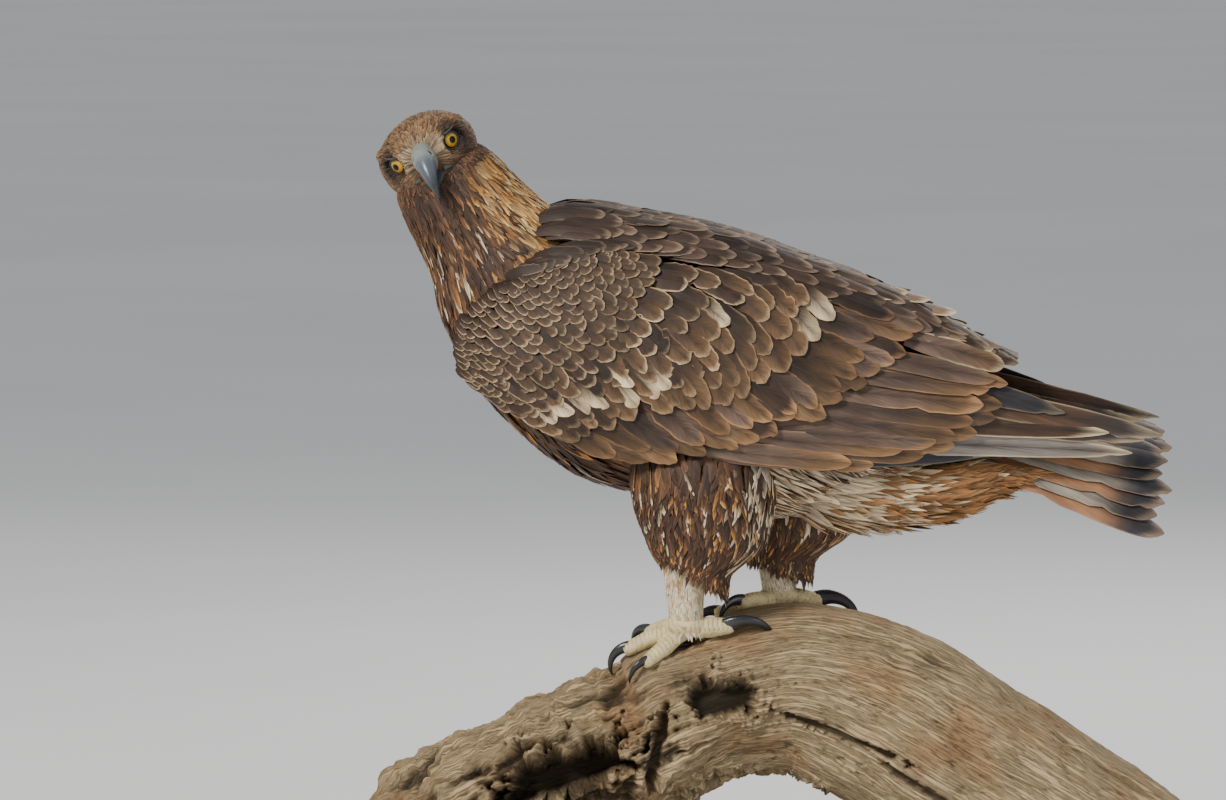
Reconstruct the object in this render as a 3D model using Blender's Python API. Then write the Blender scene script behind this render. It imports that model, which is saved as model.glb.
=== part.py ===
"""Golden eagle standing on a cut length of weathered limb, life size, on a plain display stand.

Sizes are millimetres until a mesh is made. X runs along the body with the breast toward -X, Y runs
across it with the bird's left side toward -Y, and Z is up from the underside of the stand's base.
Each sub-part is a list of closed pieces. A piece is a function of how far it is grown, so that the
same piece can be joined into its own body or cut a neighbour clear of it.
"""

import math
import random
from functools import partial

import bmesh
import bpy
from mathutils import Matrix, Vector
from mathutils.bvhtree import BVHTree

MM = 0.001
GAP = 0.3

# Trunk: spine point x, y, z, then half heights above and below the spine, then half width
TRUNK = (
    (200, 0, 488, 40, 38, 26),
    (135, 0, 496, 82, 58, 50),
    (63, 0, 508, 104, 96, 70),
    (-18, 0, 525, 112, 110, 79),
    (-90, 0, 543, 119, 117, 85),
    (-148, 0, 570, 104, 92, 79),
    (-189, 0, 607, 86, 76, 68),
    (-218, -1, 645, 66, 60, 57),
    (-240, -4, 676, 55, 52, 48),
    (-258, -8, 703, 48, 47, 39),
    (-268, -10, 720, 34, 34, 30),
)
TRUNK_SIDES = 16
NECK_JOINT = 5.5

# Folded wing: x, half width of the envelope, its centre height and its half height
ENVELOPE = (
    (-241, 50, 558, 90),
    (-207, 79, 553, 117),
    (-153, 97, 549, 135),
    (-81, 106, 537, 135),
    (-9, 106, 523, 135),
    (63, 97, 508, 126),
    (153, 76, 492, 106),
    (243, 50, 483, 65),
    (333, 36, 471, 45),
    (378, 31, 464, 40),
)
# Wing core seen from the side: x, lower edge and upper edge
WING_PLAN = (
    (-238, 544, 568),
    (-224, 506, 596),
    (-190, 480, 622),
    (-150, 465, 640),
    (-110, 456, 650),
    (-50, 448, 634),
    (10, 445, 624),
    (70, 444, 606),
    (120, 447, 578),
    (165, 455, 548),
)

# Head in its own frame: x forward, y to the bird's left, z up, from the middle of the skull
HEAD_CENTRE = Vector((-272, -16, 724))
HEAD_ROLL = math.radians(26)
HEAD_YAW = math.radians(7)
HEAD_PITCH = math.radians(15)
VIEW_RISE = math.radians(4)
HEAD_ROWS = (
    (-44, -4, 9, 9, 9),
    (-38, -3, 22, 22, 25),
    (-26, -2, 30, 31, 38),
    (-10, -1, 32, 36, 44),
    (4, -1, 32, 37, 43.5),
    (12, -1, 31, 35, 39),
    (19, -2, 28, 31, 33),
    (26, -2, 23, 26, 26),
    (32, -1, 18, 20, 19),
    (35, 0, 13, 15, 13),
)
HEAD_RINGS = 12
EYE_CENTRE = Vector((11.5, 21.5, 4.5))
EYE_RADIUS = 11
EYE_OUTWARD = math.radians(38)
EYE_BACK = math.radians(105)

# Bill: path x and z, direction x and z, half height and half width
UPPER_BILL = (
    (26, 3, 1, 0, 14, 12.5),
    (36, 2.5, 1, -0.1, 13.5, 12),
    (46, -0.5, 1, -0.35, 12, 10.5),
    (54, -6, 1, -0.8, 9.5, 8),
    (60.5, -13, 0.75, -1, 6.5, 5.5),
    (65, -20.5, 0.45, -1, 3.8, 3.2),
    (67.5, -27, 0.2, -1, 1, 0.8),
)
LOWER_BILL = (
    (24, -15.5, 1, 0, 4.5, 10.5),
    (38, -17, 1, -0.1, 4.2, 9),
    (48, -18.5, 1, -0.15, 3.2, 6.5),
    (54, -19.5, 1, -0.2, 1.4, 3),
)

# Tail
TAIL_ROOT = Vector((150, 0, 492))
TAIL_SLOPE = math.radians(10)
TAIL_SWING = math.radians(6)
TAIL_ROLL = math.radians(38)
TAIL_TENT = math.tan(math.radians(16))
TAIL_SPREAD = math.radians(16)
TAIL_LENGTH = 256
RECTRICES = 12
RECTRIX_STEP = 2

# Limb: x, y, z of its axis and its radius
LIMB = (
    (-301, -4, 77, 56),
    (-234, -3, 126, 65),
    (-153, 0, 165, 68),
    (-80, 0, 195, 70),
    (-36, 0, 220, 72),
    (0, 6, 231, 72),
    (63, 16, 237, 77),
    (135, 16, 213, 83),
    (207, 12, 172, 84),
    (279, 8, 131, 82),
    (340, 5, 97, 76),
    (390, 2, 67, 71),
)
LIMB_SIDES = 16
LIMB_RINGS = 16

# Legs: foot centre x and y, ankle height above the limb, then the heights and sizes of each part
LEGS = {
    "l": {
        "foot": (-44, -46),
        "thigh": ((-24, 452, 66, 44), (-23, 405, 60, 42), (-22, 370, 48, 34), (-30, 344, 27, 22)),
        "ankle": (-42, 352),
        "toward": -1,
    },
    "r": {
        "foot": (44, 36),
        "thigh": ((56, 448, 66, 42), (60, 408, 62, 42), (57, 374, 48, 34), (47, 352, 28, 22)),
        "ankle": (42, 358),
        "toward": 1,
    },
}
TARSUS_HALF = 16
TOE_SWELL = (1.1, 0.95, 1.08, 0.95, 0.78)
# Toes: name, heading in degrees from straight ahead, length, thickness, claw radius and claw sweep
TOES = (
    ("inner", 38, 44, 8.6, 19, 118),
    ("middle", 2, 58, 8.2, 18, 116),
    ("outer", -40, 48, 7.6, 16, 112),
    ("rear", 178, 40, 9.4, 26, 124),
)

# Stand, and the height that it adds under all the rest
STAND_LIFT = 20
BASE_LENGTH = 470
BASE_WIDTH = 250
BASE_HEIGHT = 16
BASE_CORNER = 30
ROD_RADIUS = 8
ROD_PLACES = {"front": (-150, 0), "back": (170, 14)}
ROD_DEPTH_IN_BASE = 8
ROD_DEPTH_IN_LIMB = 20


def spline(rows, t):
    """The row at parameter t on a smooth curve through the rows, one unit for each row."""
    last = len(rows) - 1
    i = min(max(int(t), 0), last - 1)
    f = t - i
    p0 = rows[max(i - 1, 0)]
    p1 = rows[i]
    p2 = rows[i + 1]
    p3 = rows[min(i + 2, last)]
    out = []
    for a, b, c, d in zip(p0, p1, p2, p3):
        curve = 2 * b + (c - a) * f + (2 * a - 5 * b + 4 * c - d) * f * f
        out.append(0.5 * (curve + (3 * b - a - 3 * c + d) * f**3))
    return out


def spline_at(rows, x):
    """The rest of the row where the first column is x, from rows that rise along that column."""
    if x <= rows[0][0]:
        return rows[0][1:]
    if x >= rows[-1][0]:
        return rows[-1][1:]
    i = next(k for k in range(len(rows) - 1) if rows[k + 1][0] > x)
    t = i + (x - rows[i][0]) / (rows[i + 1][0] - rows[i][0])
    return spline(rows, t)[1:]


def ellipse_ring(centre, side, up, half_side, half_up, half_down, count):
    """Points round an ellipse whose upper and lower halves may differ."""
    ring = []
    for k in range(count):
        angle = 2 * math.pi * k / count
        rise = math.cos(angle)
        height = half_up if rise > 0 else half_down
        ring.append(centre + side * half_side * math.sin(angle) + up * height * rise)
    return ring


def loft(rings):
    """A closed mesh through rings of one count, with a fan over each end."""
    count = len(rings[0])
    points = [p for ring in rings for p in ring]
    faces = []
    for r in range(len(rings) - 1):
        for k in range(count):
            a = r * count + k
            b = r * count + (k + 1) % count
            faces.append((a, b, b + count, a + count))
    for start, ring, turned in ((0, rings[0], True), ((len(rings) - 1) * count, rings[-1], False)):
        points.append(sum(ring, Vector()) / count)
        middle = len(points) - 1
        for k in range(count):
            a = start + k
            b = start + (k + 1) % count
            faces.append((b, a, middle) if turned else (a, b, middle))
    return points, faces


def plate(top, bottom):
    """A closed mesh between two grids of points, split into the same triangles on both faces."""
    rows = len(top)
    columns = len(top[0])
    points = [p for row in top for p in row] + [p for row in bottom for p in row]
    under = rows * columns
    faces = []
    for i in range(rows - 1):
        for j in range(columns - 1):
            a = i * columns + j
            b = a + 1
            c = a + columns + 1
            d = a + columns
            faces += [(a, b, c), (a, c, d)]
            faces += [(under + c, under + b, under + a), (under + d, under + c, under + a)]
    rim = [j for j in range(columns)]
    rim += [i * columns + columns - 1 for i in range(1, rows)]
    rim += [(rows - 1) * columns + j for j in range(columns - 2, -1, -1)]
    rim += [i * columns for i in range(rows - 2, 0, -1)]
    for a, b in zip(rim, rim[1:] + rim[:1]):
        faces += [(b, a, under + a), (b, under + a, under + b)]
    return points, faces


def tube(path, halves, grow=0.0, sides=8, side_hint=Vector((0, 1, 0))):
    """A closed tube along a path; halves gives the half width and half height at each point."""
    rings = []
    last = len(path) - 1
    for i, centre in enumerate(path):
        ahead = (path[min(i + 1, last)] - path[max(i - 1, 0)]).normalized()
        side = (side_hint - ahead * side_hint.dot(ahead)).normalized()
        up = side.cross(ahead)
        wide, high = halves[i]
        shift = ahead * grow * ((i == last) - (i == 0))
        ring = ellipse_ring(centre + shift, side, up, wide + grow, high + grow, high + grow, sides)
        rings.append(ring)
    return loft(rings)


def ball(centre, halves, axes, grow=0.0, sides=12, bands=8, back=math.pi):
    """A closed ellipsoid with its half sizes along three axes, cut flat at an angle from its front."""
    rings = []
    for i in range(1, bands + (back < math.pi)):
        angle = back * i / bands
        reach = (halves[2] + grow) * math.cos(angle)
        width = math.sin(angle)
        ring = []
        for k in range(sides):
            turn = 2 * math.pi * k / sides
            across = axes[0] * (halves[0] + grow) * math.cos(turn)
            along = axes[1] * (halves[1] + grow) * math.sin(turn)
            ring.append(centre + axes[2] * reach + (across + along) * width)
        rings.append(ring)
    points, faces = loft(rings)
    points[-2] = centre + axes[2] * (halves[2] + grow)
    if back == math.pi:
        points[-1] = centre - axes[2] * (halves[2] + grow)
    return points, faces


def trunk_frame(t):
    """Spine point, direction, up vector and half sizes of the trunk at parameter t."""
    x, y, z, up, down, half = spline(TRUNK, t)
    before = spline(TRUNK, max(t - 0.05, 0))
    after = spline(TRUNK, min(t + 0.05, len(TRUNK) - 1))
    ahead = (Vector(after[:3]) - Vector(before[:3])).normalized()
    side = Vector((0, 1, 0))
    side = (side - ahead * side.dot(ahead)).normalized()
    return Vector((x, y, z)), ahead, ahead.cross(side), side, up, down, half


def trunk_point(t, angle, lift=0.0):
    """A point on the trunk, with the angle from its back toward the bird's left side."""
    centre, _, up, side, high, low, half = trunk_frame(t)
    rise = math.cos(angle)
    height = high if rise > 0 else low
    across = -side * math.sin(angle) * (half + lift)
    return centre + across + up * rise * (height + lift)


def trunk_piece(first, last, rings, grow=0.0):
    """A length of the trunk with flat ends."""
    stack = []
    for i in range(rings):
        t = first + (last - first) * i / (rings - 1)
        centre, ahead, up, side, high, low, half = trunk_frame(t)
        centre = centre + ahead * grow * ((i == rings - 1) - (i == 0))
        ring = ellipse_ring(centre, side, up, half + grow, high + grow, low + grow, TRUNK_SIDES)
        stack.append(ring)
    return loft(stack)


def wing_point(toward, x, z, lift=0.0):
    """A point on the envelope of a folded wing, at a place seen from the side."""
    half, middle, height = spline_at(ENVELOPE, x)
    rise = max(-0.97, min(0.97, (z - middle) / height))
    across = half * math.sqrt(1 - rise * rise)
    slope = Vector((0, toward * across / half**2, rise / height)).normalized()
    return Vector((x, toward * across, z)) + slope * lift


def back_point(toward, x, angle, lift=0.0):
    """A point on the same envelope, by its angle from the top of the back."""
    half, middle, height = spline_at(ENVELOPE, x)
    across = half * math.sin(angle)
    rise = math.cos(angle)
    slope = Vector((0, toward * math.sin(angle) / half, rise / height)).normalized()
    return Vector((x, toward * across, middle + height * rise)) + slope * lift


def tail_axes():
    """Direction, side and up vectors of the rolled tail."""
    ahead = Vector(
        (
            math.cos(TAIL_SLOPE) * math.cos(TAIL_SWING),
            math.sin(TAIL_SWING),
            -math.sin(TAIL_SLOPE) * math.cos(TAIL_SWING),
        )
    )
    level = Vector((0, 1, 0))
    level = (level - ahead * level.dot(ahead)).normalized()
    above = ahead.cross(level)
    side = level * math.cos(TAIL_ROLL) + above * math.sin(TAIL_ROLL)
    up = above * math.cos(TAIL_ROLL) - level * math.sin(TAIL_ROLL)
    return ahead, side, up


def tail_point(reach, across, lift=0.0):
    """A point on the tail, whose two halves slope like a low roof."""
    ahead, side, up = tail_axes()
    fold = math.sqrt(across * across + 64) - 8
    return TAIL_ROOT + ahead * reach + side * across + up * (lift - TAIL_TENT * fold)


def head_matrix():
    """From the head's own frame to the object's frame."""
    forward = Vector((0, -math.cos(VIEW_RISE), math.sin(VIEW_RISE)))
    left = Vector((1, 0, 0))
    up = forward.cross(left)
    base = Matrix((forward, left, up)).transposed()
    turn = Matrix.Rotation(HEAD_ROLL, 3, "X")
    turn = turn @ Matrix.Rotation(-HEAD_YAW, 3, "Z") @ Matrix.Rotation(HEAD_PITCH, 3, "Y")
    return Matrix.Translation(HEAD_CENTRE) @ (base @ turn).to_4x4()


HEAD = head_matrix()
HEAD_AXES = [HEAD.to_3x3().col[k].copy() for k in range(3)]


def head_piece(grow=0.0):
    """The skull and its close feathers."""
    forward, left, up = HEAD_AXES
    stack = []
    last = len(HEAD_ROWS) - 1
    for i in range(HEAD_RINGS):
        x, middle, high, low, half = spline(HEAD_ROWS, last * i / (HEAD_RINGS - 1))
        shift = grow * ((i == HEAD_RINGS - 1) - (i == 0))
        centre = HEAD @ Vector((x + shift, 0, middle))
        stack.append(ellipse_ring(centre, left, up, half + grow, high + grow, low + grow, 14))
    return loft(stack)


def head_tube(path, halves, grow=0.0, sides=8):
    """A tube whose path is given in the head's frame."""
    return tube([HEAD @ Vector(p) for p in path], halves, grow, sides, HEAD_AXES[1])


def bill_piece(rows, grow=0.0):
    """Half of the bill as a loft between its upright sections."""
    left = HEAD_AXES[1]
    stack = []
    for i, (x, z, dx, dz, high, half) in enumerate(rows):
        ahead = HEAD.to_3x3() @ Vector((dx, 0, dz)).normalized()
        up = ahead.cross(left)
        centre = HEAD @ Vector((x, 0, z)) + ahead * grow * ((i == len(rows) - 1) - (i == 0))
        stack.append(ellipse_ring(centre, left, up, half + grow, high + grow, high + grow, 12))
    return loft(stack)


def eye_frame(toward):
    """Centre and axis of an eye, where toward is 1 on the bird's left."""
    centre = HEAD @ Vector((EYE_CENTRE.x, toward * EYE_CENTRE.y, EYE_CENTRE.z))
    aim = Vector((math.cos(EYE_OUTWARD), toward * math.sin(EYE_OUTWARD), 0))
    return centre, HEAD.to_3x3() @ aim


def eye_piece(toward, grow=0.0):
    centre, aim = eye_frame(toward)
    side = aim.cross(HEAD_AXES[2]).normalized()
    up = side.cross(aim)
    return ball(centre, (EYE_RADIUS,) * 3, (side, up, aim), grow, 12, 5, EYE_BACK)


def socket_piece(toward, grow=0.0):
    """The hollow in front of an eye."""
    centre, aim = eye_frame(toward)
    side = aim.cross(HEAD_AXES[2]).normalized()
    up = side.cross(aim)
    return ball(centre + aim * 9, (9.4, 8.6, 9), (side, up, aim), grow, 8, 5)


def lid_piece(toward, grow=0.0):
    """The rim of the lids, a ring round the eye's axis."""
    centre, aim = eye_frame(toward)
    side = aim.cross(HEAD_AXES[2]).normalized()
    up = side.cross(aim)
    middle = centre + aim * 7
    points = []
    faces = []
    around = 10
    section = 4
    for i in range(around):
        turn = 2 * math.pi * i / around
        out = side * math.cos(turn) + up * math.sin(turn) * 0.92
        for j in range(section):
            angle = 2 * math.pi * j / section
            offset = out * math.cos(angle) + aim * math.sin(angle)
            points.append(middle + out * 9 + offset * (1.7 + grow))
    for i in range(around):
        for j in range(section):
            a = i * section + j
            b = i * section + (j + 1) % section
            c = ((i + 1) % around) * section + (j + 1) % section
            d = ((i + 1) % around) * section + j
            faces.append((a, b, c, d))
    return points, faces


# Where along a vane its rows of points lie, and their share of the width before the last
VANE_SHAPES = {
    4: ((0, 0.4, 0.84, 1), (0.6, 1, 0.86)),
    5: ((0, 0.35, 0.7, 0.92, 1), (0.6, 0.95, 1, 0.78)),
    6: ((0, 0.3, 0.6, 0.82, 0.95, 1), (0.5, 0.85, 1, 0.94, 0.7)),
}


def vane(surface, root, tip, width, lifts, grow=0.0, rows=5, columns=3, roll=0.0, camber=0.05,
         bend=0.0, thick=1.0, end=0.42):
    """One feather as a thin curved plate on a surface, from its sunk root to its rounded tip.

    The surface takes two coordinates and a lift. The lifts are those of the root, the middle and
    the tip. Roll tips one edge up so that neighbours lie like shingles.
    """
    def at(s, lift):
        sway = bend * math.sin(math.pi * s)
        u = root[0] + (tip[0] - root[0]) * s
        v = root[1] + (tip[1] - root[1]) * s + sway
        return surface(u, v, lift)

    def lift_at(s):
        if s < 0.35:
            return lifts[0] + (lifts[1] - lifts[0]) * s / 0.35
        return lifts[1] + (lifts[2] - lifts[1]) * (s - 0.35) / 0.65

    stops, widths = VANE_SHAPES[rows]
    top = []
    bottom = []
    for i, (s, share) in enumerate(zip(stops, widths + (end,))):
        here = at(s, lift_at(s))
        ahead = (at(min(s + 0.02, 1), lift_at(s)) - at(max(s - 0.02, 0), lift_at(s))).normalized()
        normal = at(s, lift_at(s) + 1) - here
        normal = (normal - ahead * normal.dot(ahead)).normalized()
        side = ahead.cross(normal)
        here = here + ahead * grow * ((i == rows - 1) - (i == 0))
        half = width * share / 2
        upper = []
        lower = []
        for k in (-1, 0, 1)[:: 4 - columns]:
            reach = side * k * (half + grow)
            drop = normal * (half * (k * math.tan(roll) - abs(k) * camber))
            body = normal * ((thick if k == 0 else 0.7 * thick) / 2 + grow)
            upper.append(here + reach + drop + body)
            lower.append(here + reach + drop - body)
        top.append(upper)
        bottom.append(lower)
    return plate(top, bottom)


def lock(surface, root, tip, width, lifts, grow=0.0, bend=0.0, thick=1.6):
    """A flat tapered lock of feathers, narrower toward its tip."""
    top = []
    bottom = []
    rows = ((0, 0.7), (0.35, 1), (0.75, 0.62), (1, 0.12))
    for i, (s, share) in enumerate(rows):
        u = root[0] + (tip[0] - root[0]) * s
        v = root[1] + (tip[1] - root[1]) * s + bend * math.sin(math.pi * s)
        lift = lifts[0] + (lifts[1] - lifts[0]) * min(s / 0.4, 1) + (lifts[2] - lifts[1]) * s
        here = surface(u, v, lift)
        u_next = root[0] + (tip[0] - root[0]) * (s + 0.03)
        v_next = root[1] + (tip[1] - root[1]) * (s + 0.03) + bend * math.sin(math.pi * (s + 0.03))
        ahead = (surface(u_next, v_next, lift) - here).normalized()
        normal = surface(u, v, lift + 1) - here
        normal = (normal - ahead * normal.dot(ahead)).normalized()
        side = ahead.cross(normal)
        here = here + ahead * grow * ((i == len(rows) - 1) - (i == 0))
        reach = side * (width * share / 2 + grow)
        body = normal * (thick * (1 - 0.5 * s) / 2 + grow)
        top.append([here - reach + body, here + reach + body])
        bottom.append([here - reach - body, here + reach - body])
    return plate(top, bottom)


def tier(surface, roots, tips, count, widths, lifts, step, **shape):
    """A row of vanes whose roots and tips lie evenly on two curves, each a step above the last."""
    pieces = []
    for i in range(count):
        s = i / (count - 1)
        root = spline(roots, s * (len(roots) - 1))
        tip = spline(tips, s * (len(tips) - 1))
        width = widths[0] + (widths[1] - widths[0]) * s
        stepped = [lift + step * i for lift in lifts]
        pieces.append(partial(vane, surface, root, tip, width, stepped, **shape))
    return pieces


# Tiers of a folded wing: root curve and tip curve in x and z, count, widths, lifts of a vane's root,
# middle and tip, step between vanes, roll, then rows and columns of points
WING_TIERS = {
    "primaries": (
        ((40, 459), (60, 470), (80, 484)),
        ((243, 450), (374, 463), (302, 490)),
        3, (26, 30), (-9, -8.5, -7.5), 3, 0, 5, 2,
    ),
    "secondaries": (
        ((-50, 464), (32, 500), (92, 556)),
        ((140, 452), (206, 486), (248, 526)),
        6, (36, 36), (-8, 2.2, 2.2), 0, 0.26, 5, 2,
    ),
    "tertials": (
        ((92, 576), (70, 602)),
        ((236, 547), (196, 574)),
        2, (34, 32), (-8, 4, 4), 0, 0.16, 5, 2,
    ),
    "greater": (
        ((-100, 484), (-8, 522), (66, 592)),
        ((-22, 450), (84, 474), (152, 556)),
        5, (46, 42), (-7, 5, 7), 0, 0.26, 4, 2,
    ),
    "median": (
        ((-150, 498), (-70, 550), (0, 618)),
        ((-82, 464), (12, 510), (76, 586)),
        5, (48, 42), (-5, 7, 10), 0, 0.2, 4, 2,
    ),
}


# How much higher the far wing's tip lies, on top of the rolled tail
FAR_TIP_RISE = 16
# How far the wing's core lies below the envelope where feathers cover it
CORE_SINK = 4


def wing_core(toward, grow=0.0):
    """The arm and hand of a folded wing, filling the space between its outer feathers and the trunk."""
    columns = 6
    outer = []
    inner = []
    last = len(WING_PLAN) - 1
    for i, (x, low, high) in enumerate(WING_PLAN):
        sink = CORE_SINK * min(1, max(0, (x + 110) / 100))
        x = x + grow * ((i == last) - (i == 0))
        upper = []
        lower = []
        for j in range(columns):
            v = j / (columns - 1)
            z = low - grow + (high - low + 2 * grow) * v
            fullness = math.sin(math.pi * min(max(v, 0.04), 0.96)) ** 0.5
            ends = min(1, 0.35 + 0.5 * i, 0.35 + 0.45 * (last - i))
            depth = 5 + 26 * fullness * ends
            upper.append(wing_point(toward, x, z, -2.5 * (1 - fullness) - sink + grow))
            lower.append(wing_point(toward, x, z, -depth - grow))
        outer.append(upper)
        inner.append(lower)
    return plate(outer, inner)


def wing_pieces(toward):
    surface = partial(wing_point, toward)
    pieces = [partial(wing_core, toward)]
    for name, row in WING_TIERS.items():
        roots, tips, count, widths, lifts, step, roll, rows, columns = row
        if name == "primaries" and toward > 0:
            tips = [(x, z + FAR_TIP_RISE) for x, z in tips]
        pieces += tier(surface, roots, tips, count, widths, lifts, step, rows=rows, columns=columns,
                       roll=-toward * roll)
    return pieces


# Mantle: x, half width and lift of the back between the wings
MANTLE_PLAN = (
    (-166, 36, -15),
    (-130, 54, -7),
    (-95, 64, -4),
    (-35, 66, -4),
    (30, 62, -4),
    (90, 52, -4),
    (150, 39, -4),
    (200, 20, -5),
)


def mantle_core(grow=0.0):
    """The back between the wings, from the nape to the rump."""
    columns = 7
    outer = []
    inner = []
    last = len(MANTLE_PLAN) - 1
    for i, (x, half_width, lift) in enumerate(MANTLE_PLAN):
        x = x + grow * ((i == last) - (i == 0))
        half = spline_at(ENVELOPE, x)[0]
        limit = math.asin(min(0.95, (half_width + grow) / half))
        upper = []
        lower = []
        for j in range(columns):
            v = 2 * j / (columns - 1) - 1
            fullness = 1 - v * v
            upper.append(back_point(1, x, limit * v, lift + grow))
            lower.append(back_point(1, x, limit * v, lift - 5 - 20 * fullness - grow))
        outer.append(upper)
        inner.append(lower)
    return plate(outer, inner)


# Scapulars: angle of a row from the top of the back, its first root, count, width and lifts
SCAPULAR_ROWS = (
    (13, -124, 4, 40, (-5.5, 3, 6)),
    (30, -136, 4, 42, (-5.5, 6, 10)),
)
SCAPULAR_PITCH = 74
SCAPULAR_LENGTH = 98
SCAPULAR_ROLL = 0.06


def mantle_pieces():
    pieces = [mantle_core]
    for toward in (-1, 1):
        surface = partial(back_point, toward)
        for degrees, start, count, width, lifts in SCAPULAR_ROWS:
            for i in range(count):
                x = start + SCAPULAR_PITCH * i
                root = (x, math.radians(degrees))
                tip = (x + SCAPULAR_LENGTH, math.radians(degrees + 5))
                shape = {"rows": 4, "columns": 2, "roll": -toward * SCAPULAR_ROLL}
                pieces.append(partial(vane, surface, root, tip, width, lifts, **shape))
    return pieces


def tail_core(grow=0.0):
    """The rump and the fleshy root of the tail."""
    ahead, side, up = tail_axes()
    rows = ((8, 24, 24), (45, 27, 20), (85, 30, 12), (118, 32, 5))
    stack = []
    for i, (reach, half, high) in enumerate(rows):
        shift = grow * ((i == len(rows) - 1) - (i == 0))
        centre = TAIL_ROOT + ahead * (reach + shift) - up * high * 0.35
        stack.append(ellipse_ring(centre, side, up, half + grow, high + grow, high + grow, 10))
    return loft(stack)


def tail_pieces():
    pieces = [tail_core]
    for i in range(RECTRICES):
        place = 2 * i / (RECTRICES - 1) - 1
        angle = TAIL_SPREAD * place
        length = TAIL_LENGTH + 8 * abs(place)
        root = (52, place * 20)
        tip = (length * math.cos(angle), length * math.sin(angle))
        drop = -RECTRIX_STEP * (abs(i - (RECTRICES - 1) / 2) + 0.5 * (i >= RECTRICES / 2))
        lifts = (drop, drop, drop)
        pieces.append(
            partial(vane, tail_point, root, tip, 37, lifts, rows=5, columns=2, camber=0.0, end=0.5)
        )
    return pieces


# Under-tail coverts: x, z, half width and half height of their soft core
UNDERTAIL = ((44, 436, 34, 32), (80, 430, 41, 36), (120, 425, 42, 34), (165, 424, 38, 30), (215, 428, 28, 22), (246, 434, 12, 10))


def undertail_point(x, angle, lift=0.0):
    """A point under the tail's root, with the angle from straight down toward the bird's left."""
    z, half, high = spline_at(UNDERTAIL, x)
    across = -math.sin(angle) * (half + lift)
    return Vector((x, across, z - math.cos(angle) * (high + lift)))


def undertail_core(grow=0.0):
    stack = []
    for i, (x, z, half, high) in enumerate(UNDERTAIL):
        shift = grow * ((i == len(UNDERTAIL) - 1) - (i == 0))
        centre = Vector((x + shift, 0, z))
        ring = ellipse_ring(centre, Vector((0, 1, 0)), Vector((0, 0, 1)), half + grow, high + grow,
                            high + grow, 12)
        stack.append(ring)
    return loft(stack)


def undertail_pieces():
    pieces = [undertail_core]
    draw = random.Random(5)
    for row, (x, count, length) in enumerate(((98, 3, 58), (148, 4, 60), (196, 2, 62))):
        for i in range(count):
            angle = math.radians(-64 + 128 * (i + 0.5 * (row % 2)) / (count - 0.5))
            tip = (x + length * draw.uniform(0.9, 1.1), angle * draw.uniform(0.85, 1.0))
            pieces.append(partial(lock, undertail_point, (x, angle), tip, 29, (-3, 2, 6)))
    return pieces


def neck_pieces():
    """The neck and its lance-shaped hackles."""
    pieces = [partial(trunk_piece, NECK_JOINT - 0.3, len(TRUNK) - 1, 8)]
    draw = random.Random(11)
    rows = ((8.1, 6, 60, 34), (6.85, 7, 66, 42))
    for row, (t, count, length, width) in enumerate(rows):
        for i in range(count):
            angle = 2 * math.pi * (i + 0.5 * (row % 2)) / count
            reach = length * draw.uniform(0.88, 1.12) / 38
            tip = (t - reach, angle + draw.uniform(-0.05, 0.05))
            lifts = (-3, 2.2, 3.2)
            pieces.append(partial(lock, trunk_point, (t, angle), tip, width, lifts))
    return pieces


def thigh_surface(leg, height, angle, lift=0.0):
    """A point on a feathered thigh, with the angle from straight ahead round toward -Y."""
    rows = [(-z, x, fore, side) for x, z, fore, side in leg["thigh"]]
    x, fore, side = spline_at(rows, -height)
    below = max(0, leg["thigh"][-1][1] - height)
    spread = lift - 0.35 * below
    return Vector(
        (
            x - math.cos(angle) * (fore + spread),
            leg["foot"][1] - math.sin(angle) * (side + spread),
            height,
        )
    )


def thigh_core(leg, grow=0.0):
    stack = []
    rows = leg["thigh"]
    for i, (x, z, fore, side) in enumerate(rows):
        z = z + grow * ((i == 0) - (i == len(rows) - 1))
        centre = Vector((x, leg["foot"][1], z))
        ring = ellipse_ring(centre, Vector((0, 1, 0)), Vector((1, 0, 0)), side + grow, fore + grow,
                            fore + grow, 12)
        stack.append(ring)
    return loft(stack)


def thigh_pieces(leg):
    """The thigh and the locks of its trousers."""
    pieces = [partial(thigh_core, leg)]
    surface = partial(thigh_surface, leg)
    bottom = leg["thigh"][-1][1]
    draw = random.Random(7)
    for row, (above, count, length, width) in enumerate(((62, 5, 46, 34), (28, 6, 40, 26))):
        for i in range(count):
            angle = 2 * math.pi * (i + 0.5 * (row % 2)) / count
            height = bottom + above
            tip = (height - length * draw.uniform(0.9, 1.1), angle)
            pieces.append(partial(lock, surface, (height, angle), tip, width, (-3, 2, 4)))
    return pieces


def limb_frame(t):
    """Axis point, side and up vectors, and radius of the limb at parameter t."""
    x, y, z, radius = spline(LIMB, t)
    before = Vector(spline(LIMB, max(t - 0.05, 0))[:3])
    after = Vector(spline(LIMB, min(t + 0.05, len(LIMB) - 1))[:3])
    ahead = (after - before).normalized()
    side = Vector((0, 1, 0))
    side = (side - ahead * side.dot(ahead)).normalized()
    return Vector((x, y, z)), ahead, side, ahead.cross(side), radius


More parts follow.
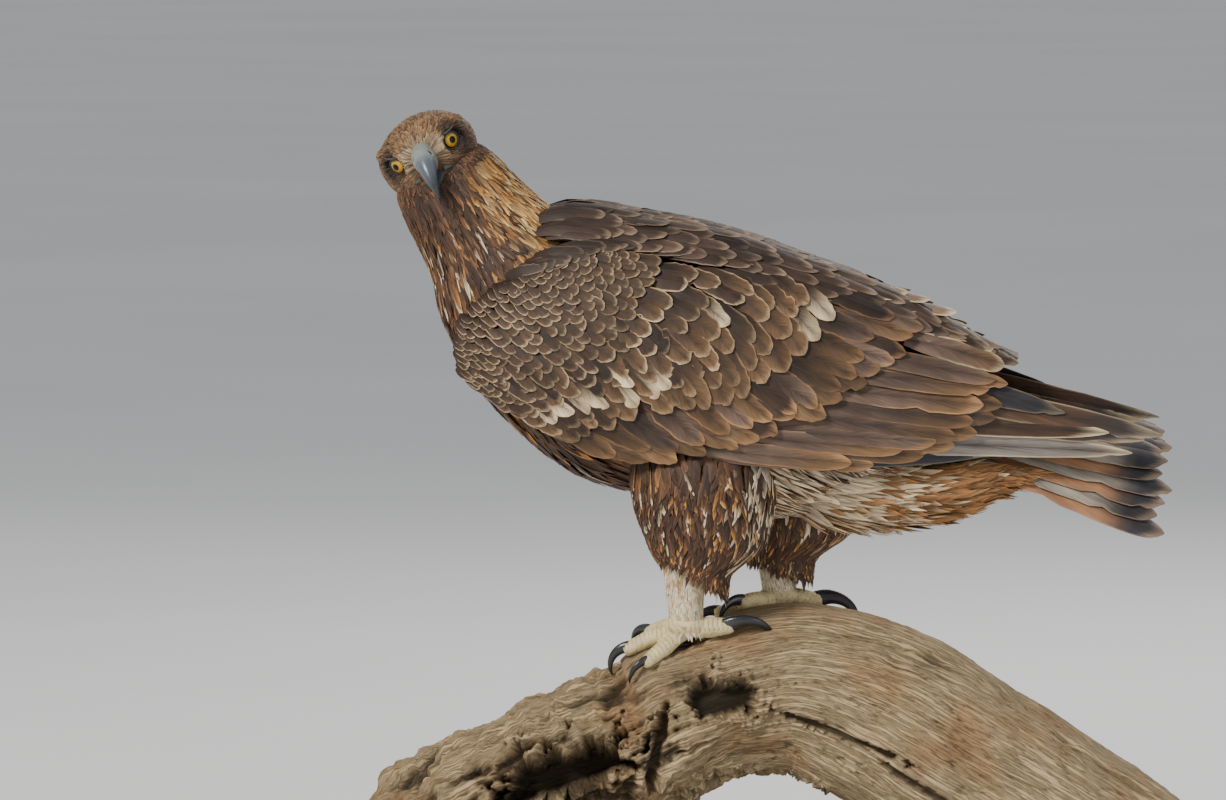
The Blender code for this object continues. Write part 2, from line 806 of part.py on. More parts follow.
def limb_piece(grow=0.0):
    """The weathered limb, round with long ridges and burls."""
    stack = []
    for i in range(LIMB_RINGS):
        t = (len(LIMB) - 1) * i / (LIMB_RINGS - 1)
        centre, _, side, up, radius = limb_frame(t)
        ring = []
        for k in range(LIMB_SIDES):
            angle = 2 * math.pi * k / LIMB_SIDES
            ridge = 0.03 * math.sin(3 * angle + 0.5 * t) + 0.025 * math.sin(5 * angle - 0.9 * t + 1)
            gnarl = 0.035 * math.sin(2.1 * t + 2 * angle) * max(0, 1 - t / 6)
            reach = radius * (1 + ridge + gnarl) + grow
            ring.append(centre + side * reach * math.sin(angle) + up * reach * math.cos(angle))
        stack.append(ring)
    return loft(stack)


def limb_tree():
    points, faces = limb_piece()
    return BVHTree.FromPolygons(points, faces)


LIMB_TREE = limb_tree()


def rest_on_limb(point, height):
    """The place at a height over the limb's nearest surface, and the surface's normal there."""
    near, normal, _, _ = LIMB_TREE.find_nearest(point)
    if normal.z < 0:
        normal = -normal
    return near + normal * height, normal


def toe_path(leg, degrees, length, thick):
    """Joint points of a toe that lies on the limb, with the normals of the limb below them."""
    x, y = leg["foot"]
    start, normal = rest_on_limb(Vector((x, y, 400)), thick)
    start, normal = rest_on_limb(Vector((x, y, start.z)), thick)
    turn = math.radians(degrees) * (1 if leg["toward"] < 0 else -1)
    heading = Vector((-math.cos(turn), math.sin(turn), 0))
    path = [start]
    normals = [normal]
    steps = len(TOE_SWELL) - 1
    for _ in range(steps):
        along = (heading - normals[-1] * heading.dot(normals[-1])).normalized()
        there, normal = rest_on_limb(path[-1] + along * length / steps, thick * 0.94)
        path.append(there)
        normals.append(normal)
    return path, normals


def toe_piece(leg, toe, grow=0.0):
    """A scaly toe with swollen joints."""
    _, degrees, length, thick, _, _ = toe
    path, normals = toe_path(leg, degrees, length, thick)
    halves = [(thick * s, thick * s) for s in TOE_SWELL]
    side = (path[-1] - path[0]).cross(normals[2]).normalized()
    return tube(path, halves, grow, 8, side)


def pad_piece(leg, grow=0.0):
    """The palm of the foot, where the toes meet under the ankle."""
    x, y = leg["foot"]
    path, normals = toe_path(leg, 2, 58, 8.2)
    up = Vector((0, 0, 1))
    centre = path[0] + up * 4
    axes = (Vector((1, 0, 0)), Vector((0, 1, 0)), up)
    return ball(centre, (19, 15, 11), axes, grow, 10, 5)


def claw_piece(leg, toe, grow=0.0):
    """A curved claw that springs from its toe's end and closes down on the limb."""
    _, degrees, length, thick, radius, sweep = toe
    path, normals = toe_path(leg, degrees, length, thick)
    normal = normals[-1]
    ahead = path[-1] - path[-2]
    ahead = (ahead - normal * ahead.dot(normal)).normalized()
    rise = math.radians(34)
    start = path[-1] - ahead * 3 + normal * 1
    steps = 5
    points = []
    halves = []
    for i in range(steps + 1):
        s = i / steps
        angle = rise - math.radians(sweep) * s
        forward = radius * (math.sin(rise) - math.sin(angle))
        lift = radius * (math.cos(angle) - math.cos(rise))
        points.append(start + ahead * forward + normal * lift)
        girth = 0.3 * radius * (1 - s) ** 0.8 + 0.5
        halves.append((0.72 * girth, girth))
    return tube(points, halves, grow, 6, ahead.cross(normal))


def foot_pieces(leg):
    return [partial(pad_piece, leg)] + [partial(toe_piece, leg, toe) for toe in TOES]


def tarsus_piece(leg, grow=0.0):
    """The feathered shank from under the trousers down to the foot."""
    x, y = leg["foot"]
    path, _ = toe_path(leg, 2, 58, 8.2)
    top_x, top_z = leg["ankle"]
    foot = path[0] + Vector((0, 0, 5))
    top = Vector((top_x, y, top_z + 16))
    points = [foot.lerp(top, s) for s in (0, 0.25, 0.5, 0.75, 1)]
    halves = [(TARSUS_HALF * w * 0.9, TARSUS_HALF * w) for w in (0.86, 0.92, 1, 1.12, 1.2)]
    return tube(points, halves, grow, 12)


def rod_piece(place, grow=0.0):
    x, y = ROD_PLACES[place]
    hit = LIMB_TREE.ray_cast(Vector((x, y, 0)), Vector((0, 0, 1)))[0]
    top = hit.z + ROD_DEPTH_IN_LIMB + grow
    bottom = BASE_HEIGHT - ROD_DEPTH_IN_BASE - STAND_LIFT - grow
    rings = []
    for z in (bottom, top):
        rings.append(
            ellipse_ring(Vector((x, y, z)), Vector((0, 1, 0)), Vector((1, 0, 0)), ROD_RADIUS + grow,
                         ROD_RADIUS + grow, ROD_RADIUS + grow, 12)
        )
    return loft(rings)


def hollow_piece(grow=0.0):
    """The rotted hollow in the near side of the limb's left end."""
    axes = (Vector((0.93, 0, 0.37)), Vector((-0.37, 0, 0.93)), Vector((0, 1, 0)))
    return ball(Vector((-150, -74, 158)), (46, 24, 34), axes, grow, 10, 6)


def nostril_piece(toward, grow=0.0):
    centre = HEAD @ Vector((38, toward * 11.2, 5.5))
    axes = (HEAD_AXES[0], HEAD_AXES[1], HEAD_AXES[2])
    return ball(centre, (1.7, 3, 3.4), axes, grow, 8, 6)


def mouth_cut(grow=0.0):
    """The line of the mouth, a thin slit back from the bill to below the eyes."""
    top = []
    bottom = []
    for x, z, half in ((15, -16.2, 30), (24, -14.8, 30), (36, -13.2, 30)):
        upper = []
        lower = []
        for k in (-1, 1):
            upper.append(HEAD @ Vector((x, k * half, z + 0.5 + grow)))
            lower.append(HEAD @ Vector((x, k * half, z - 0.5 - grow)))
        top.append(upper)
        bottom.append(lower)
    return plate(top, bottom)


def brow_piece(toward, grow=0.0):
    path = [(27, toward * 19, 13.5), (20, toward * 29.5, 13.6), (11, toward * 35, 15), (0, toward * 38, 16)]
    return head_tube(path, [(2.6, 2.8), (3.6, 3.8), (3.8, 4), (2.6, 2.6)], grow, 7)


def lip_piece(toward, grow=0.0):
    path = [(33, toward * 12, -12.5), (26, toward * 19.5, -14), (17, toward * 25.5, -16)]
    return head_tube(path, [(3, 3.4), (3.2, 3.4), (2.2, 2.4)], grow, 6)


MATERIALS = {
    "torso": ((0.13, 0.075, 0.04), 0.8, 0.0),
    "neck": ((0.3, 0.16, 0.06), 0.8, 0.0),
    "head": ((0.2, 0.12, 0.07), 0.8, 0.0),
    "bill": ((0.3, 0.36, 0.42), 0.35, 0.0),
    "eye": ((0.55, 0.36, 0.03), 0.1, 0.0),
    "wing": ((0.17, 0.1, 0.06), 0.7, 0.0),
    "mantle": ((0.12, 0.07, 0.05), 0.75, 0.0),
    "tail": ((0.1, 0.07, 0.055), 0.65, 0.0),
    "undertail": ((0.42, 0.24, 0.08), 0.85, 0.0),
    "thigh": ((0.14, 0.08, 0.04), 0.85, 0.0),
    "tarsus": ((0.62, 0.47, 0.28), 0.85, 0.0),
    "foot": ((0.6, 0.55, 0.35), 0.55, 0.0),
    "claw": ((0.015, 0.015, 0.018), 0.22, 0.0),
    "perch": ((0.33, 0.25, 0.18), 0.9, 0.0),
    "stand": ((0.03, 0.03, 0.032), 0.4, 0.0),
}


def clear_scene():
    for obj in list(bpy.data.objects):
        bpy.data.objects.remove(obj)


def material_for(name, kind):
    colour, roughness, metallic = MATERIALS[kind]
    material = bpy.data.materials.new(name)
    material.use_nodes = True
    shader = material.node_tree.nodes["Principled BSDF"]
    shader.inputs["Base Color"].default_value = (*colour, 1)
    shader.inputs["Roughness"].default_value = roughness
    shader.inputs["Metallic"].default_value = metallic
    material.diffuse_color = (*colour, 1)
    return material


def mesh_from(name, points, faces):
    """A mesh in metres with its faces turned outward."""
    mesh = bpy.data.meshes.new(name)
    mesh.from_pydata([p * MM for p in points], [], faces)
    work = bmesh.new()
    work.from_mesh(mesh)
    bmesh.ops.triangulate(work, faces=[f for f in work.faces if len(f.verts) > 3], quad_method="FIXED")
    if work.calc_volume(signed=True) < 0:
        bmesh.ops.reverse_faces(work, faces=work.faces[:])
    work.to_mesh(mesh)
    work.free()
    return mesh


def bounds_of(points):
    low = Vector([min(p[k] for p in points) for k in range(3)])
    high = Vector([max(p[k] for p in points) for k in range(3)])
    return low, high


def boxes_meet(a, b):
    return all(a[0][k] <= b[1][k] and b[0][k] <= a[1][k] for k in range(3))


def combine(base, meshes, operation):
    """The base mesh joined with, or cut by, all the other meshes at once."""
    if not meshes:
        return base
    group = bpy.data.collections.new("pieces")
    bpy.context.scene.collection.children.link(group)
    for mesh in meshes:
        group.objects.link(bpy.data.objects.new("piece", mesh))
    body = bpy.data.objects.new("body", base)
    bpy.context.scene.collection.objects.link(body)
    modifier = body.modifiers.new(operation, "BOOLEAN")
    modifier.operation = operation
    modifier.operand_type = "COLLECTION"
    modifier.collection = group
    modifier.solver = "MANIFOLD"
    bpy.context.view_layer.update()
    graph = bpy.context.evaluated_depsgraph_get()
    result = bpy.data.meshes.new_from_object(body.evaluated_get(graph))
    for obj in list(group.objects) + [body]:
        bpy.data.objects.remove(obj)
    bpy.data.collections.remove(group)
    return result


def keep_largest(mesh):
    """Removes all but the largest closed surface of the mesh."""
    work = bmesh.new()
    work.from_mesh(mesh)
    bmesh.ops.triangulate(work, faces=work.faces[:])
    left = set(work.faces)
    groups = []
    while left:
        stack = [left.pop()]
        group = list(stack)
        while stack:
            face = stack.pop()
            for edge in face.edges:
                for other in edge.link_faces:
                    if other in left:
                        left.remove(other)
                        group.append(other)
                        stack.append(other)
        groups.append(group)
    def volume(group):
        return abs(sum(f.verts[0].co.dot(f.verts[1].co.cross(f.verts[2].co)) for f in group))
    groups.sort(key=volume)
    lost = [face for group in groups[:-1] for face in group]
    bmesh.ops.delete(work, geom=lost, context="FACES")
    work.to_mesh(mesh)
    work.free()
    return len(groups) - 1


class Model:
    """Keeps the collection, the parent and the pieces of each node already made."""

    def __init__(self, name):
        self.collection = bpy.data.collections.new(name)
        bpy.context.scene.collection.children.link(self.collection)
        self.parent = bpy.data.objects.new(name + "_origin", None)
        self.collection.objects.link(self.parent)
        self.pieces = {}

    def add(self, name, kind, pieces, clear_of=(), cuts=(), core_cuts=()):
        """Fuses the pieces, cuts the body clear of its neighbours and places it in the model.

        The core cuts are made in the first piece before the others are joined to it.
        """
        self.pieces[name] = pieces
        shapes = [piece() for piece in pieces]
        meshes = [mesh_from(name, *shape) for shape in shapes]
        core = combine(meshes[0], [mesh_from("cut", *cut()) for cut in core_cuts], "DIFFERENCE")
        mesh = combine(core, meshes[1:], "UNION")
        whole = bounds_of([p for points, _ in shapes for p in points])
        cutters = [mesh_from("cut", *cut()) for cut in cuts]
        for other in clear_of:
            for piece in self.pieces[other]:
                points, faces = piece(grow=GAP)
                if boxes_meet(whole, bounds_of(points)):
                    cutters.append(mesh_from("cut", points, faces))
        mesh = combine(mesh, cutters, "DIFFERENCE")
        keep_largest(mesh)
        mesh.name = name
        centre = sum((Vector(v.co) for v in mesh.vertices), Vector()) / len(mesh.vertices)
        mesh.transform(Matrix.Translation(-centre))
        mesh.materials.clear()
        mesh.materials.append(material_for(name, kind))
        mesh.shade_smooth()
        mesh.set_sharp_from_angle(angle=math.radians(40))
        obj = bpy.data.objects.new(name, mesh)
        obj.location = centre + Vector((0, 0, STAND_LIFT * MM))
        obj.parent = self.parent
        self.collection.objects.link(obj)
        return obj


def make_base(model):
    """The flat base, a plate with round corners and a softened upper edge."""
    bpy.ops.mesh.primitive_cube_add(size=1)
    base = bpy.context.object
    base.name = "stand_base"
    base.data.name = "stand_base"
    size = Vector((BASE_LENGTH, BASE_WIDTH, BASE_HEIGHT)) * MM
    base.data.transform(Matrix.Diagonal((*size, 1)))
    work = bmesh.new()
    work.from_mesh(base.data)
    upright = [e for e in work.edges if abs(e.verts[0].co.z - e.verts[1].co.z) > 0.001]
    bmesh.ops.bevel(work, geom=upright, offset=BASE_CORNER * MM, segments=4, affect="EDGES", profile=0.5)
    rim = [e for e in work.edges if all(v.co.z > 0 for v in e.verts) and len(e.link_faces) == 2]
    rim = [e for e in rim if any(abs(f.normal.z) < 0.5 for f in e.link_faces)]
    rim = [e for e in rim if any(f.normal.z > 0.5 for f in e.link_faces)]
    bmesh.ops.bevel(work, geom=rim, offset=2 * MM, segments=1, affect="EDGES", profile=0.5)
    work.to_mesh(base.data)
    work.free()
    centre = Vector((0, 0, BASE_HEIGHT / 2)) * MM
    base.data.transform(Matrix.Translation(centre))
    cutters = [mesh_from("cut", *rod_piece(place, grow=GAP)) for place in ROD_PLACES]
    for cutter in cutters:
        cutter.transform(Matrix.Translation((0, 0, STAND_LIFT * MM)))
    mesh = combine(base.data, cutters, "DIFFERENCE")
    mesh.transform(Matrix.Translation(-centre))
    base.data = mesh
    base.location = centre
    base.parent = model.parent
    mesh.materials.clear()
    mesh.materials.append(material_for("stand_base", "stand"))
    for other in base.users_collection:
        other.objects.unlink(base)
    model.collection.objects.link(base)


def main():
    clear_scene()
    model = Model("golden_eagle")
    eyes = {"l": 1, "r": -1}
    model.add("torso", "torso", [partial(trunk_piece, 0, NECK_JOINT, 14)])
    for side, toward in eyes.items():
        model.add("eye_" + side, "eye", [partial(eye_piece, toward)])
    nostrils = [partial(nostril_piece, toward) for toward in eyes.values()]
    model.add("bill_upper", "bill", [partial(bill_piece, UPPER_BILL)], cuts=nostrils)
    model.add("bill_lower", "bill", [partial(bill_piece, LOWER_BILL)], ["bill_upper"])
    face = [head_piece]
    face += [partial(brow_piece, toward) for toward in eyes.values()]
    face += [partial(lip_piece, toward) for toward in eyes.values()]
    face += [partial(lid_piece, toward) for toward in eyes.values()]
    sockets = [partial(socket_piece, toward) for toward in eyes.values()]
    model.add("head", "head", face, ["bill_upper", "bill_lower", "eye_l", "eye_r"], [mouth_cut], sockets)
    model.add("neck", "neck", neck_pieces(), ["torso", "head", "bill_upper", "bill_lower"])
    model.add("mantle", "mantle", mantle_pieces(), ["torso", "neck"])
    for side, toward in (("l", -1), ("r", 1)):
        model.add("wing_" + side, "wing", wing_pieces(toward), ["torso", "neck", "mantle"])
    model.add("tail", "tail", tail_pieces(), ["torso", "wing_l", "wing_r", "mantle"])
    model.add("undertail_coverts", "undertail", undertail_pieces(), ["torso", "tail", "wing_l", "wing_r"])
    done = []
    for side, leg in LEGS.items():
        name = "thigh_" + side
        model.add(name, "thigh", thigh_pieces(leg),
                  ["torso", "wing_l", "wing_r", "undertail_coverts"] + done)
        done.append(name)
    feet = []
    for side, leg in LEGS.items():
        model.add("foot_" + side, "foot", foot_pieces(leg))
        model.add("tarsus_" + side, "tarsus", [partial(tarsus_piece, leg)], ["foot_" + side] + done)
        feet.append("foot_" + side)
        for toe in TOES:
            name = "claw_" + side + "_" + toe[0]
            model.add(name, "claw", [partial(claw_piece, leg, toe)], ["foot_" + side])
            feet.append(name)
    rods = []
    for place in ROD_PLACES:
        name = "stand_rod_" + place
        model.add(name, "stand", [partial(rod_piece, place)])
        rods.append(name)
    model.add("perch", "perch", [limb_piece], feet + rods, [hollow_piece])
    make_base(model)


if __name__ == "__main__":
    main()
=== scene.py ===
"""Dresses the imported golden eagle: its skin, feathers, bill, eyes, feet, limb and stand.

Forms are worked out in millimetres in the bird's own frame, with the breast toward -X and the
bird's left side toward -Y, and every mesh is stored in metres at its true place.
"""

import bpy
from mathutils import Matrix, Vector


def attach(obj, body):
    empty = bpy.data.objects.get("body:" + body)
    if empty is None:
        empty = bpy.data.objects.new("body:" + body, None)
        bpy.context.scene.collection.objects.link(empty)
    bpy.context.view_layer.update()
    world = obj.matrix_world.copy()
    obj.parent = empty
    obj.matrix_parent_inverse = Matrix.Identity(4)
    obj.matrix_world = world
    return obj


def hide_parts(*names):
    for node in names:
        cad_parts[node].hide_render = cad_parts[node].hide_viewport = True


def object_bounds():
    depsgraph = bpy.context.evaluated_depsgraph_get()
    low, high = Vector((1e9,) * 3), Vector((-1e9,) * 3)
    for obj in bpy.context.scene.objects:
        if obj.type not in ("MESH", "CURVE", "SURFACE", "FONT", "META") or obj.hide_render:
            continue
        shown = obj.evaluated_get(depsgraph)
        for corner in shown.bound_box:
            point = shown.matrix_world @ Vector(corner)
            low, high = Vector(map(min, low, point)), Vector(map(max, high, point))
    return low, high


bl_info = {
    "name": "Golden eagle display model",
    "version": (1, 0, 0),
    "blender": (4, 5, 0),
    "location": "3D View > Sidebar > Eagle",
    "description": "Skin, feathers, horn, wood and stand of a life-size golden eagle",
    "category": "Object",
}

import math
from functools import partial

import bmesh
import bpy
import numpy as np
from mathutils import Matrix, Vector, noise
from mathutils.bvhtree import BVHTree
from mathutils.kdtree import KDTree

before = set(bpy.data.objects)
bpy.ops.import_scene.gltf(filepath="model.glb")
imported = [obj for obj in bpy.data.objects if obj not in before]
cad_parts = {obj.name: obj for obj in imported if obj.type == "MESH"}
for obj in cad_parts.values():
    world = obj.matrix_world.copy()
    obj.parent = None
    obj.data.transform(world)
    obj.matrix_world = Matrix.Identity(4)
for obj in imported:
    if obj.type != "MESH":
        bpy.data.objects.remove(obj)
CAD_BOX = [list(corner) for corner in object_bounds()]

MM = 0.001
STAND_LIFT = 20
PI = math.pi
SKIN_VOXEL = 3.2 * MM
TOE_VOXEL = 1.05 * MM
LIMB_GRID = (250, 390)
LARGEST_ROLL = 0.8
CAMERA_DISTANCE = 8
VIEW_WIDTH = 1.103
SENSOR_WIDTH = 36
FLOOR_RADIUS = 60

# Trunk: spine point x, y, z, then half heights below and above the spine, then half width
TRUNK = (
    (200, 0, 488, 40, 38, 26), (135, 0, 496, 82, 58, 50), (63, 0, 508, 104, 96, 70),
    (-18, 0, 525, 112, 110, 79), (-90, 0, 543, 118, 117, 85), (-148, 0, 570, 99, 92, 79),
    (-189, 0, 607, 79, 76, 67), (-218, -1, 645, 60, 60, 56), (-240, -4, 676, 52, 52, 48),
    (-258, -8, 703, 48, 47, 39), (-268, -10, 720, 34, 34, 30),
)
# Folded wing: x, half width of the envelope, its centre height and its half height
ENVELOPE = (
    (-241, 50, 558, 90), (-207, 79, 553, 117), (-153, 97, 549, 135), (-81, 106, 537, 135),
    (-9, 106, 523, 135), (63, 97, 508, 126), (153, 76, 492, 106), (243, 50, 483, 65),
    (333, 36, 471, 45), (378, 31, 464, 40),
)
# Wing core seen from the side: x, lower edge and upper edge
WING_PLAN = (
    (-238, 544, 568), (-224, 506, 596), (-190, 480, 622), (-150, 465, 640), (-110, 456, 650),
    (-50, 448, 634), (10, 445, 630), (70, 444, 621), (120, 447, 603), (165, 455, 572),
)
# Mantle: x and half width of the back between the wings
MANTLE_PLAN = ((-166, 36), (-130, 54), (-95, 64), (-35, 66), (30, 62), (90, 52), (150, 39), (200, 20))

HEAD_CENTRE = (-272, -16, 724)
HEAD_ROLL, HEAD_YAW, HEAD_PITCH, VIEW_RISE = (math.radians(a) for a in (26, 7, 15, 4))
# Skull in its own frame: x forward, middle height, half heights above and below, half width
HEAD_ROWS = (
    (-50, -5, 2, 2, 2), (-44, -4, 18, 19, 21), (-30, -2, 29, 31, 36), (-10, -1, 32, 36, 44),
    (4, -1, 32, 37, 43.5), (12, -1, 31, 35, 39), (19, -2, 28, 31, 33), (26, -2, 23, 26, 26),
    (32, -1, 18, 20, 19), (35, 0, 13, 15, 13),
)
EYE_CENTRE = (11.5, 21.5, 4.5)
EYE_OUTWARD = math.radians(38)
EYE_RADIUS = 11
BROW_PATH = ((27, 19, 13.5), (20, 29.5, 13.6), (11, 35, 15), (0, 38, 16))
LIP_PATH = ((34, 11, -12.5), (26, 19.5, -14), (17, 25.5, -16), (11, 28, -18))
# Bill: path x and z, direction x and z, half height and half width
UPPER_BILL = (
    (26, 3, 1, 0, 14, 11), (36, 2.5, 1, -0.1, 13.5, 10.2), (46, -0.5, 1, -0.35, 12, 8.8),
    (54, -6, 1, -0.8, 9.5, 6.8), (60.5, -13, 0.75, -1, 6.5, 4.8), (65, -20.5, 0.45, -1, 3.8, 2.8),
    (67.5, -27, 0.2, -1, 1, 0.8),
)
LOWER_BILL = (
    (24, -15.5, 1, 0, 4.5, 10.5), (38, -17, 1, -0.1, 4.2, 9), (48, -18.5, 1, -0.15, 3.2, 6.5),
    (54, -19.5, 1, -0.2, 1.4, 3),
)

TAIL_ROOT = (150, 0, 492)
TAIL_SLOPE, TAIL_SWING, TAIL_ROLL, TAIL_SPREAD = (math.radians(a) for a in (10, 6, 38, 16))
TAIL_TENT = math.tan(math.radians(16))
TAIL_LENGTH = 256
# Under-tail coverts: x, z, half width and half height of their soft core
UNDERTAIL = (
    (44, 436, 34, 32), (80, 430, 41, 36), (120, 425, 42, 34), (165, 424, 38, 30),
    (215, 428, 28, 22), (246, 434, 12, 10),
)

# Limb: x, y, z of its axis and its radius
LIMB = (
    (-301, -4, 77, 56), (-234, -3, 126, 65), (-153, 0, 165, 68), (-80, 0, 195, 70),
    (-36, 0, 220, 72), (0, 6, 231, 72), (63, 16, 237, 77), (135, 16, 213, 83),
    (207, 12, 172, 84), (279, 8, 131, 82), (340, 5, 97, 76), (390, 2, 67, 71),
)
LEGS = {
    "l": {
        "foot": (-44, -46),
        "thigh": ((-24, 452, 66, 44), (-23, 405, 60, 42), (-22, 370, 48, 34), (-30, 344, 27, 22)),
        "ankle": (-42, 352),
        "hem": (360, 326),
        "toward": -1,
    },
    "r": {
        "foot": (44, 36),
        "thigh": ((56, 448, 66, 42), (60, 408, 62, 42), (57, 374, 48, 34), (47, 352, 28, 22)),
        "ankle": (42, 358),
        "hem": (352, 334),
        "toward": 1,
    },
}
TARSUS_HALF = 16
TOE_SWELL = (1.1, 0.95, 1.08, 0.95, 0.78)
# Toes: name, heading in degrees from straight ahead, length, thickness, claw radius and claw sweep
TOES = (
    ("inner", 38, 44, 8.6, 19, 118), ("middle", 2, 58, 8.2, 18, 116),
    ("outer", -40, 48, 7.6, 16, 112), ("rear", 178, 40, 9.4, 26, 124),
)


def curve(rows, t):
    """Rows of a table at parameters t, on a smooth curve with one unit for each row."""
    rows = np.asarray(rows, float)
    t = np.asarray(t, float)
    last = len(rows) - 1
    i = np.clip(t.astype(int), 0, last - 1)
    f = (t - i)[..., None]
    p0 = rows[np.maximum(i - 1, 0)]
    p1 = rows[i]
    p2 = rows[i + 1]
    p3 = rows[np.minimum(i + 2, last)]
    bend = 2 * p1 + (p2 - p0) * f + (2 * p0 - 5 * p1 + 4 * p2 - p3) * f * f
    return 0.5 * (bend + (3 * p1 - p0 - 3 * p2 + p3) * f**3)


def curve_at(rows, x):
    """The rest of a row where the first column is x, from rows that rise along that column."""
    rows = np.asarray(rows, float)
    return curve(rows, np.interp(x, rows[:, 0], np.arange(len(rows))))[..., 1:]


def unit(vectors):
    return vectors / np.maximum(np.linalg.norm(vectors, axis=-1, keepdims=True), 1e-9)


def ramp(x, low, high):
    """A smooth step from 0 at low to 1 at high."""
    s = np.clip((x - low) / (high - low), 0, 1)
    return s * s * (3 - 2 * s)


def mix(a, b, share):
    return a + (b - a) * share


def spread(*parts):
    """Arrays broadcast to one shape."""
    return np.broadcast_arrays(*[np.asarray(p, float) for p in parts])


def path_frame(rows, t, hint=(0, 1, 0)):
    """Point, direction, side and up of a curve at parameters t, with the whole row."""
    row = curve(rows, t)
    last = len(rows) - 1
    ahead = unit((curve(rows, np.minimum(t + 0.05, last)) - curve(rows, np.maximum(t - 0.05, 0)))[..., :3])
    side = np.broadcast_to(np.asarray(hint, float), ahead.shape)
    side = unit(side - ahead * (side * ahead).sum(-1, keepdims=True))
    return row[..., :3], ahead, side, np.cross(ahead, side), row


def trunk(t, angle, lift=0.0):
    """A point on the trunk, with the angle from its back toward the bird's left side."""
    t, angle, lift = spread(t, angle, lift)
    centre, _, side, down, row = path_frame(TRUNK, t)
    rise = -np.cos(angle)
    height = np.where(rise > 0, row[..., 3], row[..., 4]) + lift
    across = -np.sin(angle) * (row[..., 5] + lift)
    return centre + side * across[..., None] + down * (rise * height)[..., None]


def wing(toward, x, z, lift=0.0):
    """A point on the envelope of a folded wing, at a place seen from the side."""
    x, z, lift = spread(x, z, lift)
    half, middle, height = np.moveaxis(curve_at(ENVELOPE, x), -1, 0)
    rise = np.clip((z - middle) / height, -0.97, 0.97)
    across = half * np.sqrt(1 - rise * rise)
    slope = unit(np.stack([0 * x, toward * across / half**2, rise / height], -1))
    return np.stack([x, toward * across, z], -1) + slope * lift[..., None]


def back(toward, x, angle, lift=0.0):
    """A point on the same envelope, by its angle from the top of the back."""
    x, angle, lift = spread(x, angle, lift)
    half, middle, height = np.moveaxis(curve_at(ENVELOPE, x), -1, 0)
    across = half * np.sin(angle)
    slope = unit(np.stack([0 * x, toward * np.sin(angle) / half, np.cos(angle) / height], -1))
    place = np.stack([x, toward * across, middle + height * np.cos(angle)], -1)
    return place + slope * lift[..., None]


def tail_axes():
    """Direction, side and up vectors of the rolled tail."""
    swing = math.cos(TAIL_SWING)
    ahead = Vector((math.cos(TAIL_SLOPE) * swing, math.sin(TAIL_SWING), -math.sin(TAIL_SLOPE) * swing))
    level = Vector((0, 1, 0))
    level = (level - ahead * level.dot(ahead)).normalized()
    above = ahead.cross(level)
    side = level * math.cos(TAIL_ROLL) + above * math.sin(TAIL_ROLL)
    return [np.array(v) for v in (ahead, side, above * math.cos(TAIL_ROLL) - level * math.sin(TAIL_ROLL))]


def tail(reach, across, lift=0.0):
    """A point on the tail, whose two halves slope like a low roof."""
    reach, across, lift = spread(reach, across, lift)
    ahead, side, up = tail_axes()
    fold = np.sqrt(across * across + 64) - 8
    rise = (lift - TAIL_TENT * fold)[..., None]
    return np.array(TAIL_ROOT) + ahead * reach[..., None] + side * across[..., None] + up * rise


def undertail(x, angle, lift=0.0):
    """A point under the tail's root, with the angle from straight down toward the bird's left."""
    x, angle, lift = spread(x, angle, lift)
    z, half, high = np.moveaxis(curve_at(UNDERTAIL, x), -1, 0)
    beyond = np.maximum(x - UNDERTAIL[-1][0], 0)
    lift = lift - beyond * 0.25
    return np.stack([x, -np.sin(angle) * (half + lift), z - np.cos(angle) * (high + lift)], -1)


def thigh(leg, height, angle, lift=0.0):
    """A point on a feathered thigh, with the angle from straight ahead round toward -Y."""
    height, angle, lift = spread(height, angle, lift)
    rows = [(-z, x, fore, side) for x, z, fore, side in leg["thigh"]]
    x, fore, side = np.moveaxis(curve_at(rows, -height), -1, 0)
    reach = lift - 0.1 * np.maximum(0, leg["thigh"][-1][1] - height)
    return np.stack([x - np.cos(angle) * (fore + reach), leg["foot"][1] - np.sin(angle) * (side + reach),
                     height], -1)


def head_matrix():
    """From the head's own frame to the bird's frame."""
    forward = Vector((0, -math.cos(VIEW_RISE), math.sin(VIEW_RISE)))
    left = Vector((1, 0, 0))
    base = Matrix((forward, left, forward.cross(left))).transposed()
    turn = Matrix.Rotation(HEAD_ROLL, 3, "X")
    turn = turn @ Matrix.Rotation(-HEAD_YAW, 3, "Z") @ Matrix.Rotation(HEAD_PITCH, 3, "Y")
    return np.array(base @ turn)


HEAD = head_matrix()


def from_head(points):
    return np.asarray(points, float) @ HEAD.T + np.array(HEAD_CENTRE, float)


def distance_to_path(points, path):
    """Distance of each point from the nearest of the path's straight stretches."""
    nearest = np.full(points.shape[:-1], 1e9)
    for a, b in zip(path[:-1], path[1:]):
        a = np.asarray(a, float)
        d = np.asarray(b, float) - a
        s = np.clip(((points - a) @ d) / (d @ d), 0, 1)
        nearest = np.minimum(nearest, np.linalg.norm(points - a - s[..., None] * d, axis=-1))
    return nearest


def eye_axes(toward):
    """Centre and axis of an eye in the head's frame, where toward is 1 on the bird's left."""
    centre = np.array(EYE_CENTRE) * (1, toward, 1)
    return centre, np.array((math.cos(EYE_OUTWARD), toward * math.sin(EYE_OUTWARD), 0))


def mirrored(path, toward):
    return [(x, toward * y, z) for x, y, z in path]


